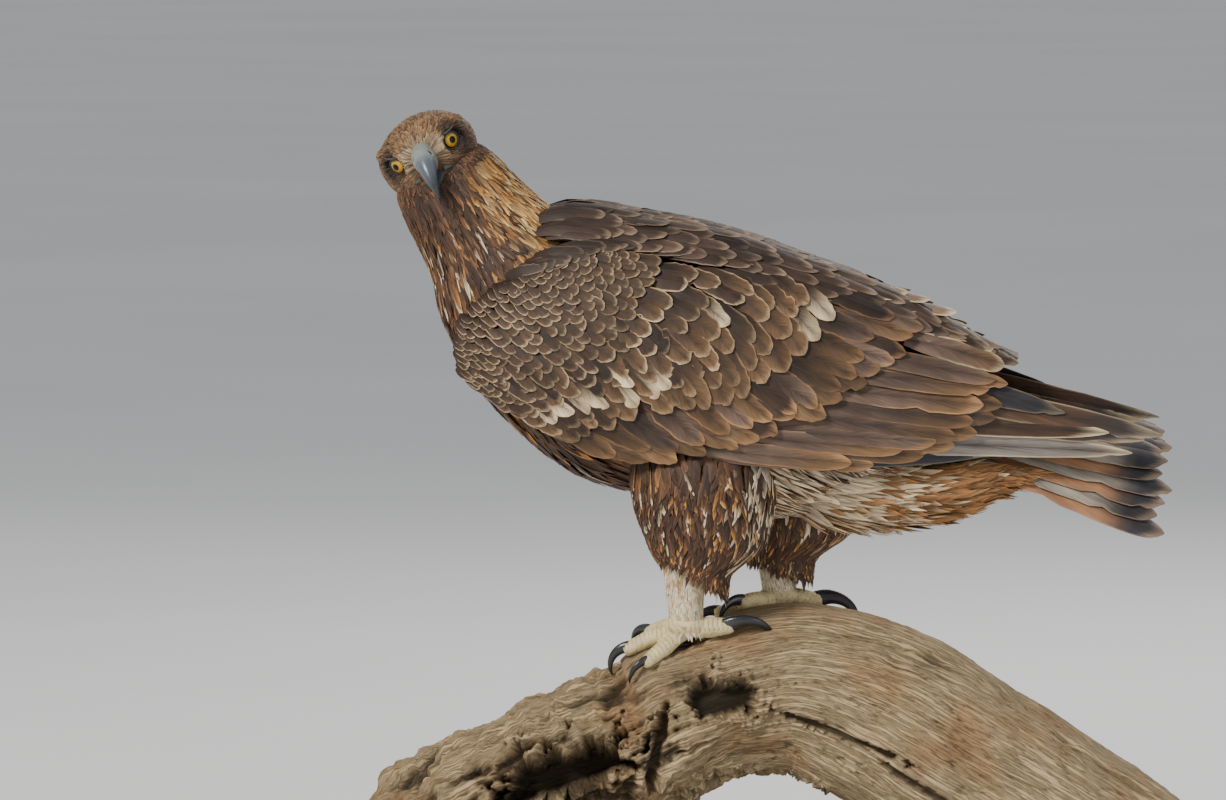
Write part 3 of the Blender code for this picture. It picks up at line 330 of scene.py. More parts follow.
def face_form(points):
    """Presses the eye sockets and lores into the skull and raises the brows and cheeks."""
    points = np.array(points, float)
    radial = unit(points * (0, 1, 1) + (6, 0, 0))
    for toward in (1, -1):
        brow = distance_to_path(points, mirrored(BROW_PATH, toward))
        points = points + radial * (3.6 * np.exp(-((brow / 5.0) ** 2)))[..., None]
        lore = np.linalg.norm((points - (25, toward * 16, -1)) / (7, 6, 8), axis=-1)
        points = points - radial * (2.2 * np.exp(-lore**2))[..., None]
        cheek = np.linalg.norm((points - (6, toward * 33, -17)) / (14, 12, 10), axis=-1)
        points = points + radial * (2.5 * np.exp(-cheek**2))[..., None]
        centre, aim = eye_axes(toward)
        offset = points - centre
        along = offset @ aim
        around = np.linalg.norm(offset - along[..., None] * aim, axis=-1)
        share = (1 - ramp(around, 7.5, 12.5)) * (along > 0)
        points = points + aim * ((np.minimum(along, 5) - along) * share)[..., None]
    return points


def head(t, angle, lift=0.0):
    """A point on the head, with the angle from its crown toward the bird's left."""
    t, angle, lift = spread(t, angle, lift)
    x, middle, high, low, half = np.moveaxis(curve(HEAD_ROWS, t), -1, 0)
    rise = np.cos(angle)
    height = np.where(rise > 0, high, low) + lift
    return from_head(face_form(np.stack([x, np.sin(angle) * (half + lift), middle + rise * height], -1)))


def limb(t, angle, grow=0.0):
    """A point on the limb, round with long ridges and burls."""
    t, angle, grow = spread(t, angle, grow)
    centre, _, side, up, row = path_frame(LIMB, t)
    ridge = 0.03 * np.sin(3 * angle + 0.5 * t) + 0.025 * np.sin(5 * angle - 0.9 * t + 1)
    gnarl = 0.035 * np.sin(2.1 * t + 2 * angle) * np.maximum(0, 1 - t / 6)
    reach = (row[..., 3] * (1 + ridge + gnarl) + grow)[..., None]
    return centre + (side * np.sin(angle)[..., None] + up * np.cos(angle)[..., None]) * reach


def limb_tree():
    """The limb's solid surface, on which the feet stand."""
    sides = 16
    rings = 16
    t = np.linspace(0, len(LIMB) - 1, rings)[:, None]
    points = limb(t, np.arange(sides)[None] * 2 * PI / sides).reshape(-1, 3)
    faces = []
    for r in range(rings - 1):
        for k in range(sides):
            a = r * sides + k
            b = r * sides + (k + 1) % sides
            faces.append((a, b, b + sides, a + sides))
    return BVHTree.FromPolygons(points.tolist(), faces)


LIMB_TREE = limb_tree()


def rest_on_limb(point, height):
    near, normal, _, _ = LIMB_TREE.find_nearest(point)
    if normal.z < 0:
        normal = -normal
    return near + normal * height, normal


def toe_path(leg, degrees, length, thick):
    """Joint points of a toe that lies on the limb, and the limb's normals below them."""
    x, y = leg["foot"]
    start, normal = rest_on_limb(Vector((x, y, 400)), thick)
    start, normal = rest_on_limb(Vector((x, y, start.z)), thick)
    turn = math.radians(degrees) * (1 if leg["toward"] < 0 else -1)
    heading = Vector((-math.cos(turn), math.sin(turn), 0))
    path = [start]
    normals = [normal]
    steps = len(TOE_SWELL) - 1
    for _ in range(steps):
        along = (heading - normals[-1] * heading.dot(normals[-1])).normalized()
        there, normal = rest_on_limb(path[-1] + along * length / steps, thick * 0.94)
        path.append(there)
        normals.append(normal)
    return path, normals


def tarsus(leg, height, angle, lift=0.0):
    """A point on the feathered shank, by its share of the way up from the foot."""
    height, angle, lift = spread(height, angle, lift)
    foot = np.array(toe_path(leg, 2, 58, 8.2)[0][0]) + (0, 0, 5)
    top = np.array((leg["ankle"][0], leg["foot"][1], leg["ankle"][1] + 16))
    half = TARSUS_HALF * (0.86 + 0.34 * height) * np.where(height < 0, 1 - height * 0.6, 1) + lift
    centre = foot + (top - foot) * height[..., None]
    return centre + np.stack([-np.cos(angle) * half, -np.sin(angle) * half * 0.9, 0 * half], -1)


FLIGHT_ROWS = (0, 0.1, 0.2, 0.3, 0.4, 0.48, 0.56, 0.64, 0.71, 0.77, 0.82, 0.87, 0.91, 0.94, 0.965, 0.985, 1)
# Shapes of feathers: where the rows of points lie, their share of the width, and columns of points
SHAPES = {
    "scale": ((0, 0.35, 0.7, 0.9, 1), (0.6, 1, 0.9, 0.6, 0.1), 3),
    "tuft": ((0, 0.3, 0.6, 0.82, 0.94, 1), (0.55, 1, 0.9, 0.6, 0.3, 0.04), 3),
    "hackle": ((0, 0.18, 0.4, 0.62, 0.8, 0.92, 1), (0.5, 0.85, 1, 0.86, 0.58, 0.3, 0.03), 3),
    "round": ((0, 0.2, 0.45, 0.66, 0.8, 0.9, 0.96, 1), (0.55, 0.85, 1, 1, 0.93, 0.76, 0.52, 0.16), 5),
    "covert": (
        (0, 0.14, 0.28, 0.4, 0.5, 0.6, 0.68, 0.76, 0.83, 0.89, 0.93, 0.965, 0.985, 1),
        (0.5, 0.72, 0.88, 0.96, 1, 1, 0.98, 0.95, 0.88, 0.78, 0.66, 0.48, 0.3, 0.1), 7,
    ),
    "flight": (
        FLIGHT_ROWS,
        (0.45, 0.62, 0.76, 0.87, 0.95, 0.99, 1, 1, 1, 0.99, 0.97, 0.93, 0.86, 0.76, 0.6, 0.38, 0.1), 7,
    ),
    "pointed": (
        FLIGHT_ROWS,
        (0.5, 0.7, 0.85, 0.95, 1, 1, 0.99, 0.96, 0.91, 0.85, 0.77, 0.67, 0.55, 0.43, 0.31, 0.18, 0.05), 7,
    ),
}


class Coat:
    """Feathers of one piece, kept as arrays until its mesh is made.

    Each feather is a thin arched solid. Its own map runs across and along the vane, and a second
    map holds each feather's patch, laid out in the order of the feathers' places on the skin.
    """

    def __init__(self, seed):
        self.draw = np.random.default_rng(seed)
        self.points = []
        self.quads = []
        self.ends = []
        self.vane = []
        self.tint = []
        self.rim = []
        self.feather = []
        self.places = []
        self.count = 0
        self.total = 0

    def lay(self, surface, root, tip, width, lifts, shape, tint, rim, roll=0.0, camber=0.12, bend=0.0,
            thick=0.8, ragged=0.05, splits=0.0, twist=0.0):
        """Lays feathers from root to tip places on a surface, each value one number or one a feather."""
        root = np.atleast_2d(np.asarray(root, float))
        tip = np.atleast_2d(np.asarray(tip, float))
        count = len(root)
        stops, shares, columns = SHAPES[shape]
        s = np.array(stops)[None]
        rows = len(stops)
        each = lambda value: np.broadcast_to(np.asarray(value, float), (count,))[:, None]
        low, middle, high = (each(v) for v in lifts)
        lift = mix(low, middle, np.clip(s / 0.35, 0, 1)) + (high - middle) * np.clip((s - 0.35) / 0.65, 0, 1)
        sway = each(bend) * np.sin(PI * s)
        u = root[:, :1] + (tip[:, :1] - root[:, :1]) * s
        v = root[:, 1:] + (tip[:, 1:] - root[:, 1:]) * s + sway
        line = surface(u, v, lift)
        ahead = unit(np.gradient(line, axis=1))
        normal = surface(u, v, lift + 1) - surface(u, v, lift)
        normal = unit(normal - ahead * (normal * ahead).sum(-1, keepdims=True))
        side = np.cross(ahead, normal)
        if np.any(twist):
            turn = each(twist)[..., None] * s[..., None]
            cos, sin = np.cos(turn), np.sin(turn)
            side, normal = side * cos + normal * sin, normal * cos - side * sin
        across = np.linspace(-1, 1, columns)[None, None]
        half = (each(width) * np.array(shares)[None] / 2)[..., None]
        edge = 1 - ragged * self.draw.random((count, rows, 2)) * 1.5
        if splits:
            cut = self.draw.random((count, rows, 2)) < splits
            edge = np.where(cut & (s[..., None] > 0.3) & (s[..., None] < 0.99), edge * 0.72, edge)
        reach = np.where(across < 0, edge[..., :1], edge[..., 1:]) * across * half
        tilt = np.tan(np.clip(each(roll), -LARGEST_ROLL, LARGEST_ROLL))[..., None]
        arch = -each(camber)[..., None] * half * across**2 + tilt * reach
        arch = arch + each(thick)[..., None] * (1 - np.abs(across)) * 0.7 * (1 - 0.6 * s[..., None])
        slide = self.draw.normal(0, 1, (count, rows, columns)) * ragged * half * 0.35 * (s[..., None] > 0.5)
        slide = slide - 0.16 * half * across**2 * (s[..., None] > 0.05)
        grid = (line[:, :, None] + side[:, :, None] * reach[..., None] + normal[:, :, None] * arch[..., None]
                + ahead[:, :, None] * slide[..., None])
        base = self.total + np.arange(count)[:, None, None] * rows * columns
        index = base + (np.arange(rows)[:, None] * columns + np.arange(columns))[None]
        top = np.stack([index[:, :-1, :-1], index[:, :-1, 1:], index[:, 1:, 1:], index[:, 1:, :-1]], -1)
        under = np.stack([index[:, :-1, -1], index[:, :-1, 0], index[:, 1:, 0], index[:, 1:, -1]], -1)
        self.quads += [top.reshape(-1, 4), under.reshape(-1, 4)]
        self.ends += [(columns, index[:, 0, ::-1].reshape(-1, columns)),
                      (columns, index[:, -1].reshape(-1, columns))]
        self.points.append(grid.reshape(-1, 3))
        flat = np.broadcast_to
        self.vane.append(np.stack([flat((across + 1) / 2, (count, rows, columns)),
                                   flat(s[..., None], (count, rows, columns))], -1).reshape(-1, 2))
        tone = np.asarray(tint, float)
        if tone.ndim == 1:
            tone = flat(tone, (count, 3))
        if tone.ndim == 2:
            tone = flat(tone[:, None], (count, rows, 3))
        seed = self.draw.random((count, 1, 1, 1))
        whole = np.concatenate([flat(tone[:, :, None], (count, rows, columns, 3)),
                                flat(seed, (count, rows, columns, 1))], -1)
        self.tint.append(whole.reshape(-1, 4))
        edge_tone = flat(np.asarray(rim, float), (count, 4))
        self.rim.append(flat(edge_tone[:, None, None], (count, rows, columns, 4)).reshape(-1, 4))
        self.feather.append(np.repeat(np.arange(count) + self.count, rows * columns))
        self.places.append(root)
        self.count += count
        self.total += count * rows * columns

    def patches(self):
        """The corner and size of each feather's patch, in columns by place along and rows by place across."""
        places = np.concatenate(self.places)
        wide = int(math.ceil(math.sqrt(len(places))))
        corner = np.zeros((len(places), 2))
        order = np.argsort(places[:, 0] + 1e-3 * places[:, 1], kind="stable")
        for column in range(wide):
            chosen = order[column * wide:(column + 1) * wide]
            chosen = chosen[np.argsort(places[chosen, 1], kind="stable")]
            corner[chosen, 0] = (column + 0.1) / wide
            corner[chosen, 1] = (np.arange(len(chosen)) + 0.1) / wide
        return corner, 0.8 / wide

    def make(self, name, material, replaced=()):
        """The mesh of all the feathers, as a piece that rides on the root body."""
        points = np.concatenate(self.points) * MM + (0, 0, STAND_LIFT * MM)
        quads = np.concatenate(self.quads)
        loops = [quads.reshape(-1)] + [faces.reshape(-1) for _, faces in self.ends]
        sizes = [np.full(len(quads), 4)] + [np.full(len(faces), n) for n, faces in self.ends]
        loops = np.concatenate(loops).astype(np.int32)
        sizes = np.concatenate(sizes).astype(np.int32)
        mesh = bpy.data.meshes.new(name)
        mesh.vertices.add(len(points))
        mesh.vertices.foreach_set("co", points.reshape(-1).astype(np.float32))
        mesh.loops.add(len(loops))
        mesh.loops.foreach_set("vertex_index", loops)
        mesh.polygons.add(len(sizes))
        mesh.polygons.foreach_set("loop_start", (np.cumsum(sizes) - sizes).astype(np.int32))
        mesh.polygons.foreach_set("loop_total", sizes)
        mesh.update(calc_edges=True)
        vane = np.concatenate(self.vane)
        corner, size = self.patches()
        patch = corner[np.concatenate(self.feather)] + vane * size
        for title, values in (("OFBake", patch), ("vane", vane)):
            layer = mesh.uv_layers.new(name=title)
            layer.uv.foreach_set("vector", values[loops].reshape(-1).astype(np.float32))
        for title, values in (("tint", self.tint), ("rim", self.rim)):
            attribute = mesh.attributes.new(title, "FLOAT_COLOR", "POINT")
            attribute.data.foreach_set("color", np.concatenate(values).reshape(-1).astype(np.float32))
        mesh.materials.append(material)
        mesh.shade_smooth()
        mesh.set_sharp_from_angle(angle=math.radians(65))
        return settle(bpy.data.objects.new(name, mesh), replaced)


def settle(obj, replaced=()):
    """Links a finished piece, which rides on the root body and may stand for CAD nodes."""
    if obj.name not in bpy.context.scene.collection.objects:
        bpy.context.scene.collection.objects.link(obj)
    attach(obj, "root")
    if replaced:
        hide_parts(*replaced)
    return obj


def warp(work, across, along, place):
    """Adds a grid whose points are moved to place(u, v), with u and v from 0 to 1, in millimetres."""
    made = bmesh.ops.create_grid(work, x_segments=across, y_segments=along, size=0.5, calc_uvs=True)["verts"]
    flat = np.array([v.co for v in made]) + 0.5
    points = place(flat[:, 0], flat[:, 1]) * MM + (0, 0, STAND_LIFT * MM)
    for vert, point in zip(made, points):
        vert.co = point
    return made


def tube_form(rows, t, turn):
    """A point round a curve whose rows are x, y, z, half width and half height."""
    centre, _, side, up, row = path_frame(rows, t)
    wide = np.sin(turn) * row[..., 3]
    high = np.cos(turn) * row[..., 4]
    return centre + side * wide[..., None] + up * high[..., None]


def closed_rows(rows, lap):
    """Places round a curve of rows, drawn together at both ends."""
    def place(u, v):
        along, close = capped(v, lap)
        t = along * (len(rows) - 1)
        point = tube_form(rows, t, u * 2 * PI)
        centre = curve(rows, t)[..., :3]
        return centre + (point - centre) * close[:, None]
    return place


def capped(v, lap=0.06):
    """Splits a run from 0 to 1 into a place along a form and a width that closes at both ends."""
    along = np.clip((v - lap) / (1 - 2 * lap), 0, 1)
    close = np.minimum(np.clip(v / lap, 0, 1), np.clip((1 - v) / lap, 0, 1))
    return along, np.sqrt(1 - (1 - close) ** 2)


def piece_from(work, name, material, replaced=(), modifiers=(), merge=1e-5):
    """A piece from a bmesh, with its seams merged, its faces turned outward and its modifiers applied."""
    bmesh.ops.remove_doubles(work, verts=work.verts[:], dist=merge)
    bmesh.ops.dissolve_degenerate(work, edges=work.edges[:], dist=merge)
    bmesh.ops.recalc_face_normals(work, faces=work.faces[:])
    mesh = bpy.data.meshes.new(name)
    work.to_mesh(mesh)
    work.free()
    obj = bpy.data.objects.new(name, mesh)
    bpy.context.scene.collection.objects.link(obj)
    if modifiers:
        for kind, settings in modifiers:
            modifier = obj.modifiers.new(kind.title(), kind)
            for key, value in settings.items():
                setattr(modifier, key, value)
        bpy.context.view_layer.update()
        obj.data = bpy.data.meshes.new_from_object(obj.evaluated_get(bpy.context.evaluated_depsgraph_get()))
        obj.modifiers.clear()
    obj.data.materials.clear()
    obj.data.materials.append(material)
    obj.data.shade_smooth()
    return settle(obj, replaced)


def points_of(obj):
    """The piece's points in millimetres, in the bird's frame."""
    flat = np.zeros(len(obj.data.vertices) * 3)
    obj.data.vertices.foreach_get("co", flat)
    return (flat.reshape(-1, 3) - (0, 0, STAND_LIFT * MM)) / MM


def move_points(obj, points):
    obj.data.vertices.foreach_set("co", (points * MM + (0, 0, STAND_LIFT * MM)).reshape(-1))
    obj.data.update()


def normals_of(obj):
    flat = np.zeros(len(obj.data.vertices) * 3)
    obj.data.vertices.foreach_get("normal", flat)
    return flat.reshape(-1, 3)


def mark(obj, name, values):
    """Keeps one number for each point of a piece, for its material to read."""
    attribute = obj.data.attributes.new(name, "FLOAT", "POINT")
    attribute.data.foreach_set("value", np.asarray(values, np.float32).reshape(-1))


def rough(points, scale, octaves=3, seed=0.0):
    """Fractal noise about zero at each point."""
    out = np.empty(len(points))
    for i, (x, y, z) in enumerate(points * scale + seed):
        out[i] = noise.fractal((x, y, z), 0.6, 2.1, octaves)
    return out


def random_tone(coat, count, amount):
    """A brightness for each feather, near one."""
    return 1 + amount * coat.draw.normal(0, 1, (count, 1)).clip(-2, 2)


class Tree:
    """Adds nodes to a tree: a socket given as an input is linked, and any other value is set."""

    def __init__(self, tree):
        self.tree = tree

    def add(self, kind, inputs=None, **settings):
        node = self.tree.nodes.new(kind)
        for key, value in settings.items():
            setattr(node, key, value)
        for key, value in (inputs or {}).items():
            if isinstance(value, bpy.types.NodeSocket):
                self.tree.links.new(value, node.inputs[key])
            else:
                node.inputs[key].default_value = value
        return node

    def math(self, operation, a, b=0.0, c=0.0, clamp=False):
        return self.add("ShaderNodeMath", {0: a, 1: b, 2: c}, operation=operation, use_clamp=clamp).outputs[0]

    def mix(self, factor, a, b, blend="MIX"):
        node = self.add("ShaderNodeMix", {0: factor, 6: a, 7: b}, data_type="RGBA", blend_type=blend)
        return node.outputs[2]

    def step(self, value, low, high, to_low=0.0, to_high=1.0):
        """A smooth step of the value between two limits."""
        inputs = {"Value": value, "From Min": low, "From Max": high, "To Min": to_low, "To Max": to_high}
        return self.add("ShaderNodeMapRange", inputs, interpolation_type="SMOOTHSTEP").outputs[0]

    def noise(self, vector, scale, detail=2.0, roughness=0.5):
        inputs = {"Vector": vector, "Scale": scale, "Detail": detail, "Roughness": roughness}
        return self.add("ShaderNodeTexNoise", inputs).outputs[0]

    def vector(self, x, y, z):
        return self.add("ShaderNodeCombineXYZ", {0: x, 1: y, 2: z}).outputs[0]

    def value(self, name):
        return self.add("ShaderNodeAttribute", attribute_name=name).outputs["Fac"]


def group(name, inputs, outputs, build):
    """A node group with named number inputs, made once."""
    found = bpy.data.node_groups.get(name)
    if found:
        return found
    made = bpy.data.node_groups.new(name, "ShaderNodeTree")
    for title, default in inputs.items():
        socket = made.interface.new_socket(name=title, in_out="INPUT", socket_type="NodeSocketFloat")
        socket.default_value = default
    for title in outputs:
        made.interface.new_socket(name=title, in_out="OUTPUT", socket_type="NodeSocketFloat")
    tree = Tree(made)
    start = tree.add("NodeGroupInput")
    end = tree.add("NodeGroupOutput")
    for title, socket in build(tree, start.outputs).items():
        made.links.new(socket, end.inputs[title])
    return made


def build_vane(tree, given):
    """Barbs, mottling, pale rim and shaft of a feather, from its own map."""
    place = tree.add("ShaderNodeSeparateXYZ", {0: tree.add("ShaderNodeUVMap", uv_map="vane").outputs[0]})
    u, v = place.outputs[0], place.outputs[1]
    seed = tree.add("ShaderNodeAttribute", attribute_name="tint").outputs["Alpha"]
    centred = tree.math("SUBTRACT", u, 0.5)
    across = tree.math("MULTIPLY", tree.math("ABSOLUTE", centred), 2.0)
    barb = tree.math("SUBTRACT", v, tree.math("MULTIPLY", across, given["Slant"]))
    where = tree.vector(tree.math("MULTIPLY", centred, 3.0), tree.math("MULTIPLY", barb, given["Barbs"]),
                        tree.math("MULTIPLY", seed, 53.0))
    fine = tree.noise(where, 1.0, 3.0, 0.65)
    broad = tree.noise(tree.vector(tree.math("MULTIPLY", centred, 2.2), tree.math("MULTIPLY", barb, 5.0),
                                   tree.math("MULTIPLY", seed, 91.0)), 1.0, 2.0)
    shade = tree.math("ADD", 1.0, tree.math("MULTIPLY", tree.math("SUBTRACT", fine, 0.5), given["Streaks"]))
    patch = tree.math("MULTIPLY", tree.math("SUBTRACT", broad, 0.5), given["Patches"])
    shade = tree.math("ADD", shade, patch)
    heart = tree.math("MULTIPLY", tree.math("POWER", tree.math("SUBTRACT", 1.0, across), 1.5), given["Heart"])
    shade = tree.math("SUBTRACT", shade, heart)
    wobble = tree.math("MULTIPLY", tree.math("SUBTRACT", fine, 0.5), 0.5)
    start = tree.math("SUBTRACT", 1.0, given["Rim width"])
    beside = tree.step(tree.math("ADD", across, tree.math("MULTIPLY", wobble, given["Rim width"])), start,
                       1.0)
    beside = tree.math("MULTIPLY", beside, tree.step(v, 0.25, 0.6))
    tip_start = tree.math("SUBTRACT", 1.0, tree.math("MULTIPLY", given["Rim width"], given["Tip share"]))
    bowed = tree.math("ADD", v, tree.math("MULTIPLY", tree.math("MULTIPLY", across, across), 0.06))
    tipped = tree.step(tree.math("ADD", bowed, tree.math("MULTIPLY", wobble, 0.16)), tip_start, 1.0)
    shaft = tree.math("SUBTRACT", 1.0, tree.step(across, 0.02, given["Shaft width"]))
    shaft = tree.math("MULTIPLY", shaft, tree.math("SUBTRACT", 1.0, tree.step(v, 0.7, 1.0)))
    height = tree.math("ADD", tree.math("MULTIPLY", fine, 0.7), tree.math("MULTIPLY", shaft, 0.5))
    return {"Shade": shade, "Rim": tree.math("MAXIMUM", beside, tipped), "Shaft": shaft, "Height": height}


VANE_INPUTS = {"Barbs": 60.0, "Slant": 0.3, "Streaks": 0.7, "Patches": 0.5, "Heart": 0.15,
               "Rim width": 0.25, "Tip share": 0.6, "Shaft width": 0.1}


def feather_material(name, roughness=0.62, shaft=(0.05, 0.03, 0.02), sheen=0.0, **values):
    """A feather finish, coloured by the tint and rim that each feather carries."""
    material = bpy.data.materials.new(name)
    material.use_nodes = True
    tree = Tree(material.node_tree)
    shader = material.node_tree.nodes["Principled BSDF"]
    vane = group("Feather vane", VANE_INPUTS, ("Shade", "Rim", "Shaft", "Height"), build_vane)
    marks = tree.add("ShaderNodeGroup", node_tree=vane)
    for key, value in values.items():
        marks.inputs[key.replace("_", " ").capitalize()].default_value = value
    tint = tree.add("ShaderNodeAttribute", attribute_name="tint").outputs["Color"]
    rim = tree.add("ShaderNodeAttribute", attribute_name="rim")
    soil = tree.noise(tree.add("ShaderNodeTexCoord").outputs["Object"], 38.0, 3.0)
    shade = tree.math("MULTIPLY", marks.outputs["Shade"], tree.step(soil, 0.3, 0.7, 0.85, 1.12))
    grey = tree.vector(shade, shade, shade)
    base = tree.mix(1.0, tint, grey, "MULTIPLY")
    base = tree.mix(tree.math("MULTIPLY", marks.outputs["Shaft"], 0.45), base, (*shaft, 1))
    edge = tree.mix(1.0, rim.outputs["Color"], grey, "MULTIPLY")
    base = tree.mix(tree.math("MULTIPLY", marks.outputs["Rim"], rim.outputs["Alpha"]), base, edge)
    bump = tree.add("ShaderNodeBump", {"Strength": 0.45, "Distance": 0.0006,
                                       "Height": marks.outputs["Height"]})
    links = material.node_tree.links
    links.new(base, shader.inputs["Base Color"])
    links.new(bump.outputs[0], shader.inputs["Normal"])
    shader.inputs["Roughness"].default_value = roughness
    shader.inputs["Specular IOR Level"].default_value = 0.35
    if sheen:
        shader.inputs["Sheen Weight"].default_value = sheen
        shader.inputs["Sheen Roughness"].default_value = 0.4
    return material


def plain_material(name, roughness, specular=0.5, coat=0.0, metallic=0.0, coat_roughness=0.1):
    """A new material with its tree helper and its shader, and plain values set on the shader."""
    material = bpy.data.materials.new(name)
    material.use_nodes = True
    shader = material.node_tree.nodes["Principled BSDF"]
    shader.inputs["Roughness"].default_value = roughness
    shader.inputs["Specular IOR Level"].default_value = specular
    shader.inputs["Coat Weight"].default_value = coat
    shader.inputs["Coat Roughness"].default_value = coat_roughness
    shader.inputs["Metallic"].default_value = metallic
    return material, Tree(material.node_tree), shader


def colour_stops(tree, value, stops):
    """A colour that runs through the stops, each a place and a colour, as the value rises."""
    node = tree.add("ShaderNodeValToRGB", {0: value})
    elements = node.color_ramp.elements
    while len(elements) < len(stops):
        elements.new(0.5)
    for element, (place, shade) in zip(elements, stops):
        element.position = place
        element.color = (*shade, 1)
    return node.outputs[0]


def build_pores(tree, given):
    """Fine cells and soft blotches of bare skin or worn horn, on Object coordinates."""
    where = tree.add("ShaderNodeTexCoord").outputs["Object"]
    cells = tree.add("ShaderNodeTexVoronoi", {"Vector": where, "Scale": given["Cells"]},
                     feature="F1").outputs[0]
    blotch = tree.noise(where, given["Blotches"], 4.0, 0.6)
    fine = tree.noise(where, tree.math("MULTIPLY", given["Cells"], 2.3), 3.0, 0.6)
    height = tree.math("ADD", tree.math("MULTIPLY", cells, 0.7), tree.math("MULTIPLY", fine, 0.4))
    return {"Blotch": blotch, "Fine": fine, "Height": height}


def pores(tree, cells, blotches):
    made = group("Pores and blotches", {"Cells": 900.0, "Blotches": 60.0}, ("Blotch", "Fine", "Height"),
                 build_pores)
    return tree.add("ShaderNodeGroup", {"Cells": cells, "Blotches": blotches}, node_tree=made)


def bumped(tree, shader, height, distance, strength=0.5):
    bump = tree.add("ShaderNodeBump", {"Strength": strength, "Distance": distance, "Height": height})
    tree.tree.links.new(bump.outputs[0], shader.inputs["Normal"])


def skin_material():
    """Bare skin under the feathers, in the same colours as the feathers over it."""
    material, tree, shader = plain_material("Under skin", 0.75, 0.3)
    marks = pores(tree, 500.0, 45.0)
    tint = tree.add("ShaderNodeAttribute", attribute_name="tint").outputs["Color"]
    shade = tree.step(marks.outputs["Blotch"], 0.3, 0.7, 0.75, 1.15)
    tree.tree.links.new(tree.mix(1.0, tint, tree.vector(shade, shade, shade), "MULTIPLY"),
                        shader.inputs["Base Color"])
    bumped(tree, shader, marks.outputs["Height"], 0.0008)
    return material


def horn_material(name, stops, roughness=0.3):
    """Horn that changes colour from its root to its point, with painted shade where the dark value marks a
    hollow.
    """
    material, tree, shader = plain_material(name, roughness, 0.4, 0.2, coat_roughness=0.2)
    marks = pores(tree, 1400.0, 70.0)
    reach = tree.math("ADD", tree.value("reach"), tree.math("MULTIPLY", tree.math(
        "SUBTRACT", marks.outputs["Blotch"], 0.5), 0.16))
    shade = tree.step(marks.outputs["Blotch"], 0.3, 0.7, 0.86, 1.1)
    base = tree.mix(1.0, colour_stops(tree, reach, stops), tree.vector(shade, shade, shade), "MULTIPLY")
    # Painted shade: where the dark value is high, hollows such as the sunk nostrils turn nearly black.
    base = tree.mix(tree.value("dark"), base, (0.012, 0.012, 0.014, 1))
    tree.tree.links.new(base, shader.inputs["Base Color"])
    rough_value = tree.step(marks.outputs["Fine"], 0.3, 0.7, roughness - 0.06, roughness + 0.1)
    tree.tree.links.new(rough_value, shader.inputs["Roughness"])
    bumped(tree, shader, marks.outputs["Height"], 0.00025, 0.35)
    return material


def eye_material(iris, iris_low):
    """A wet eye: dark pupil, amber iris with fine spokes, and a dark outer ring."""
    material, tree, shader = plain_material("Eye", 0.4, 0.1, 0.18, coat_roughness=0.03)
    angle = tree.value("axis")
    where = tree.add("ShaderNodeTexCoord").outputs["Object"]
    spokes = tree.noise(tree.vector(tree.math("MULTIPLY", tree.value("spoke"), 9.0), angle, 0.0), 1.0, 3.0)
    cloud = tree.noise(where, 500.0, 3.0)
    ring = colour_stops(tree, tree.math("ADD", angle,
                                        tree.math("MULTIPLY", tree.math("SUBTRACT", cloud, 0.5), 0.03)), (
        (0.0, (0.002, 0.002, 0.002)), (0.25, (0.002, 0.002, 0.002)), (0.27, tuple(0.4 * c for c in iris)),
        (0.34, iris), (0.56, iris), (0.62, tuple(0.3 * c for c in iris)), (0.66, (0.008, 0.006, 0.005)),
        (1.0, (0.008, 0.006, 0.005))))
    shade = tree.step(spokes, 0.25, 0.75, 0.65, 1.3)
    low = tree.mix(tree.step(tree.value("drop"), -0.2, 0.8), ring, (*iris_low, 1), "MULTIPLY")
    tree.tree.links.new(tree.mix(1.0, low, tree.vector(shade, shade, shade), "MULTIPLY"),
                        shader.inputs["Base Color"])
    return material


def scute_material():
    """Toe skin: pale scutes with painted shade in the creases between them."""
    material, tree, shader = plain_material("Toe scutes", 0.5, 0.4)
    marks = pores(tree, 1100.0, 80.0)
    base = colour_stops(tree, marks.outputs["Blotch"], (
        (0.25, tuple(tone("toe_skin") * 0.72)), (0.55, tuple(tone("toe_skin"))),
        (0.8, tuple(tone("toe_skin") * 1.15))))
    # Painted shade in the creases between the scutes and in the dips between the side cells.
    crease_shade = tree.math("MULTIPLY", tree.value("crease_shade"), 0.8)
    base = tree.mix(crease_shade, base, (*(tone("toe_skin") * 0.28), 1))
    tree.tree.links.new(base, shader.inputs["Base Color"])
    bumped(tree, shader, marks.outputs["Height"], 0.0005)
    return material


def build_grain(tree, given):
    """Long weathered fibres and checks of dead wood, from Object coordinates and the wood's own marks."""
    where = tree.add("ShaderNodeTexCoord").outputs["Object"]
    place = tree.add("ShaderNodeSeparateXYZ", {0: where})
    run = tree.value("run")
    turn = tree.value("turn")
    stretched = tree.vector(tree.math("MULTIPLY", run, given["Along"]),
                            tree.math("MULTIPLY", turn, given["Around"]),
                            tree.math("MULTIPLY", place.outputs[1], 6.0))
    fibre = tree.noise(stretched, 1.0, 5.0, 0.65)
    broad = tree.noise(where, given["Broad"], 4.0, 0.6)
    checks = tree.math("SUBTRACT", 1.0, tree.step(tree.math("ABSOLUTE", tree.math("SUBTRACT", fibre, 0.5)),
                                                  0.0, 0.035))
    height = tree.math("SUBTRACT", fibre, tree.math("MULTIPLY", checks, 0.35))
    return {"Fibre": fibre, "Broad": broad, "Checks": checks, "Height": height}


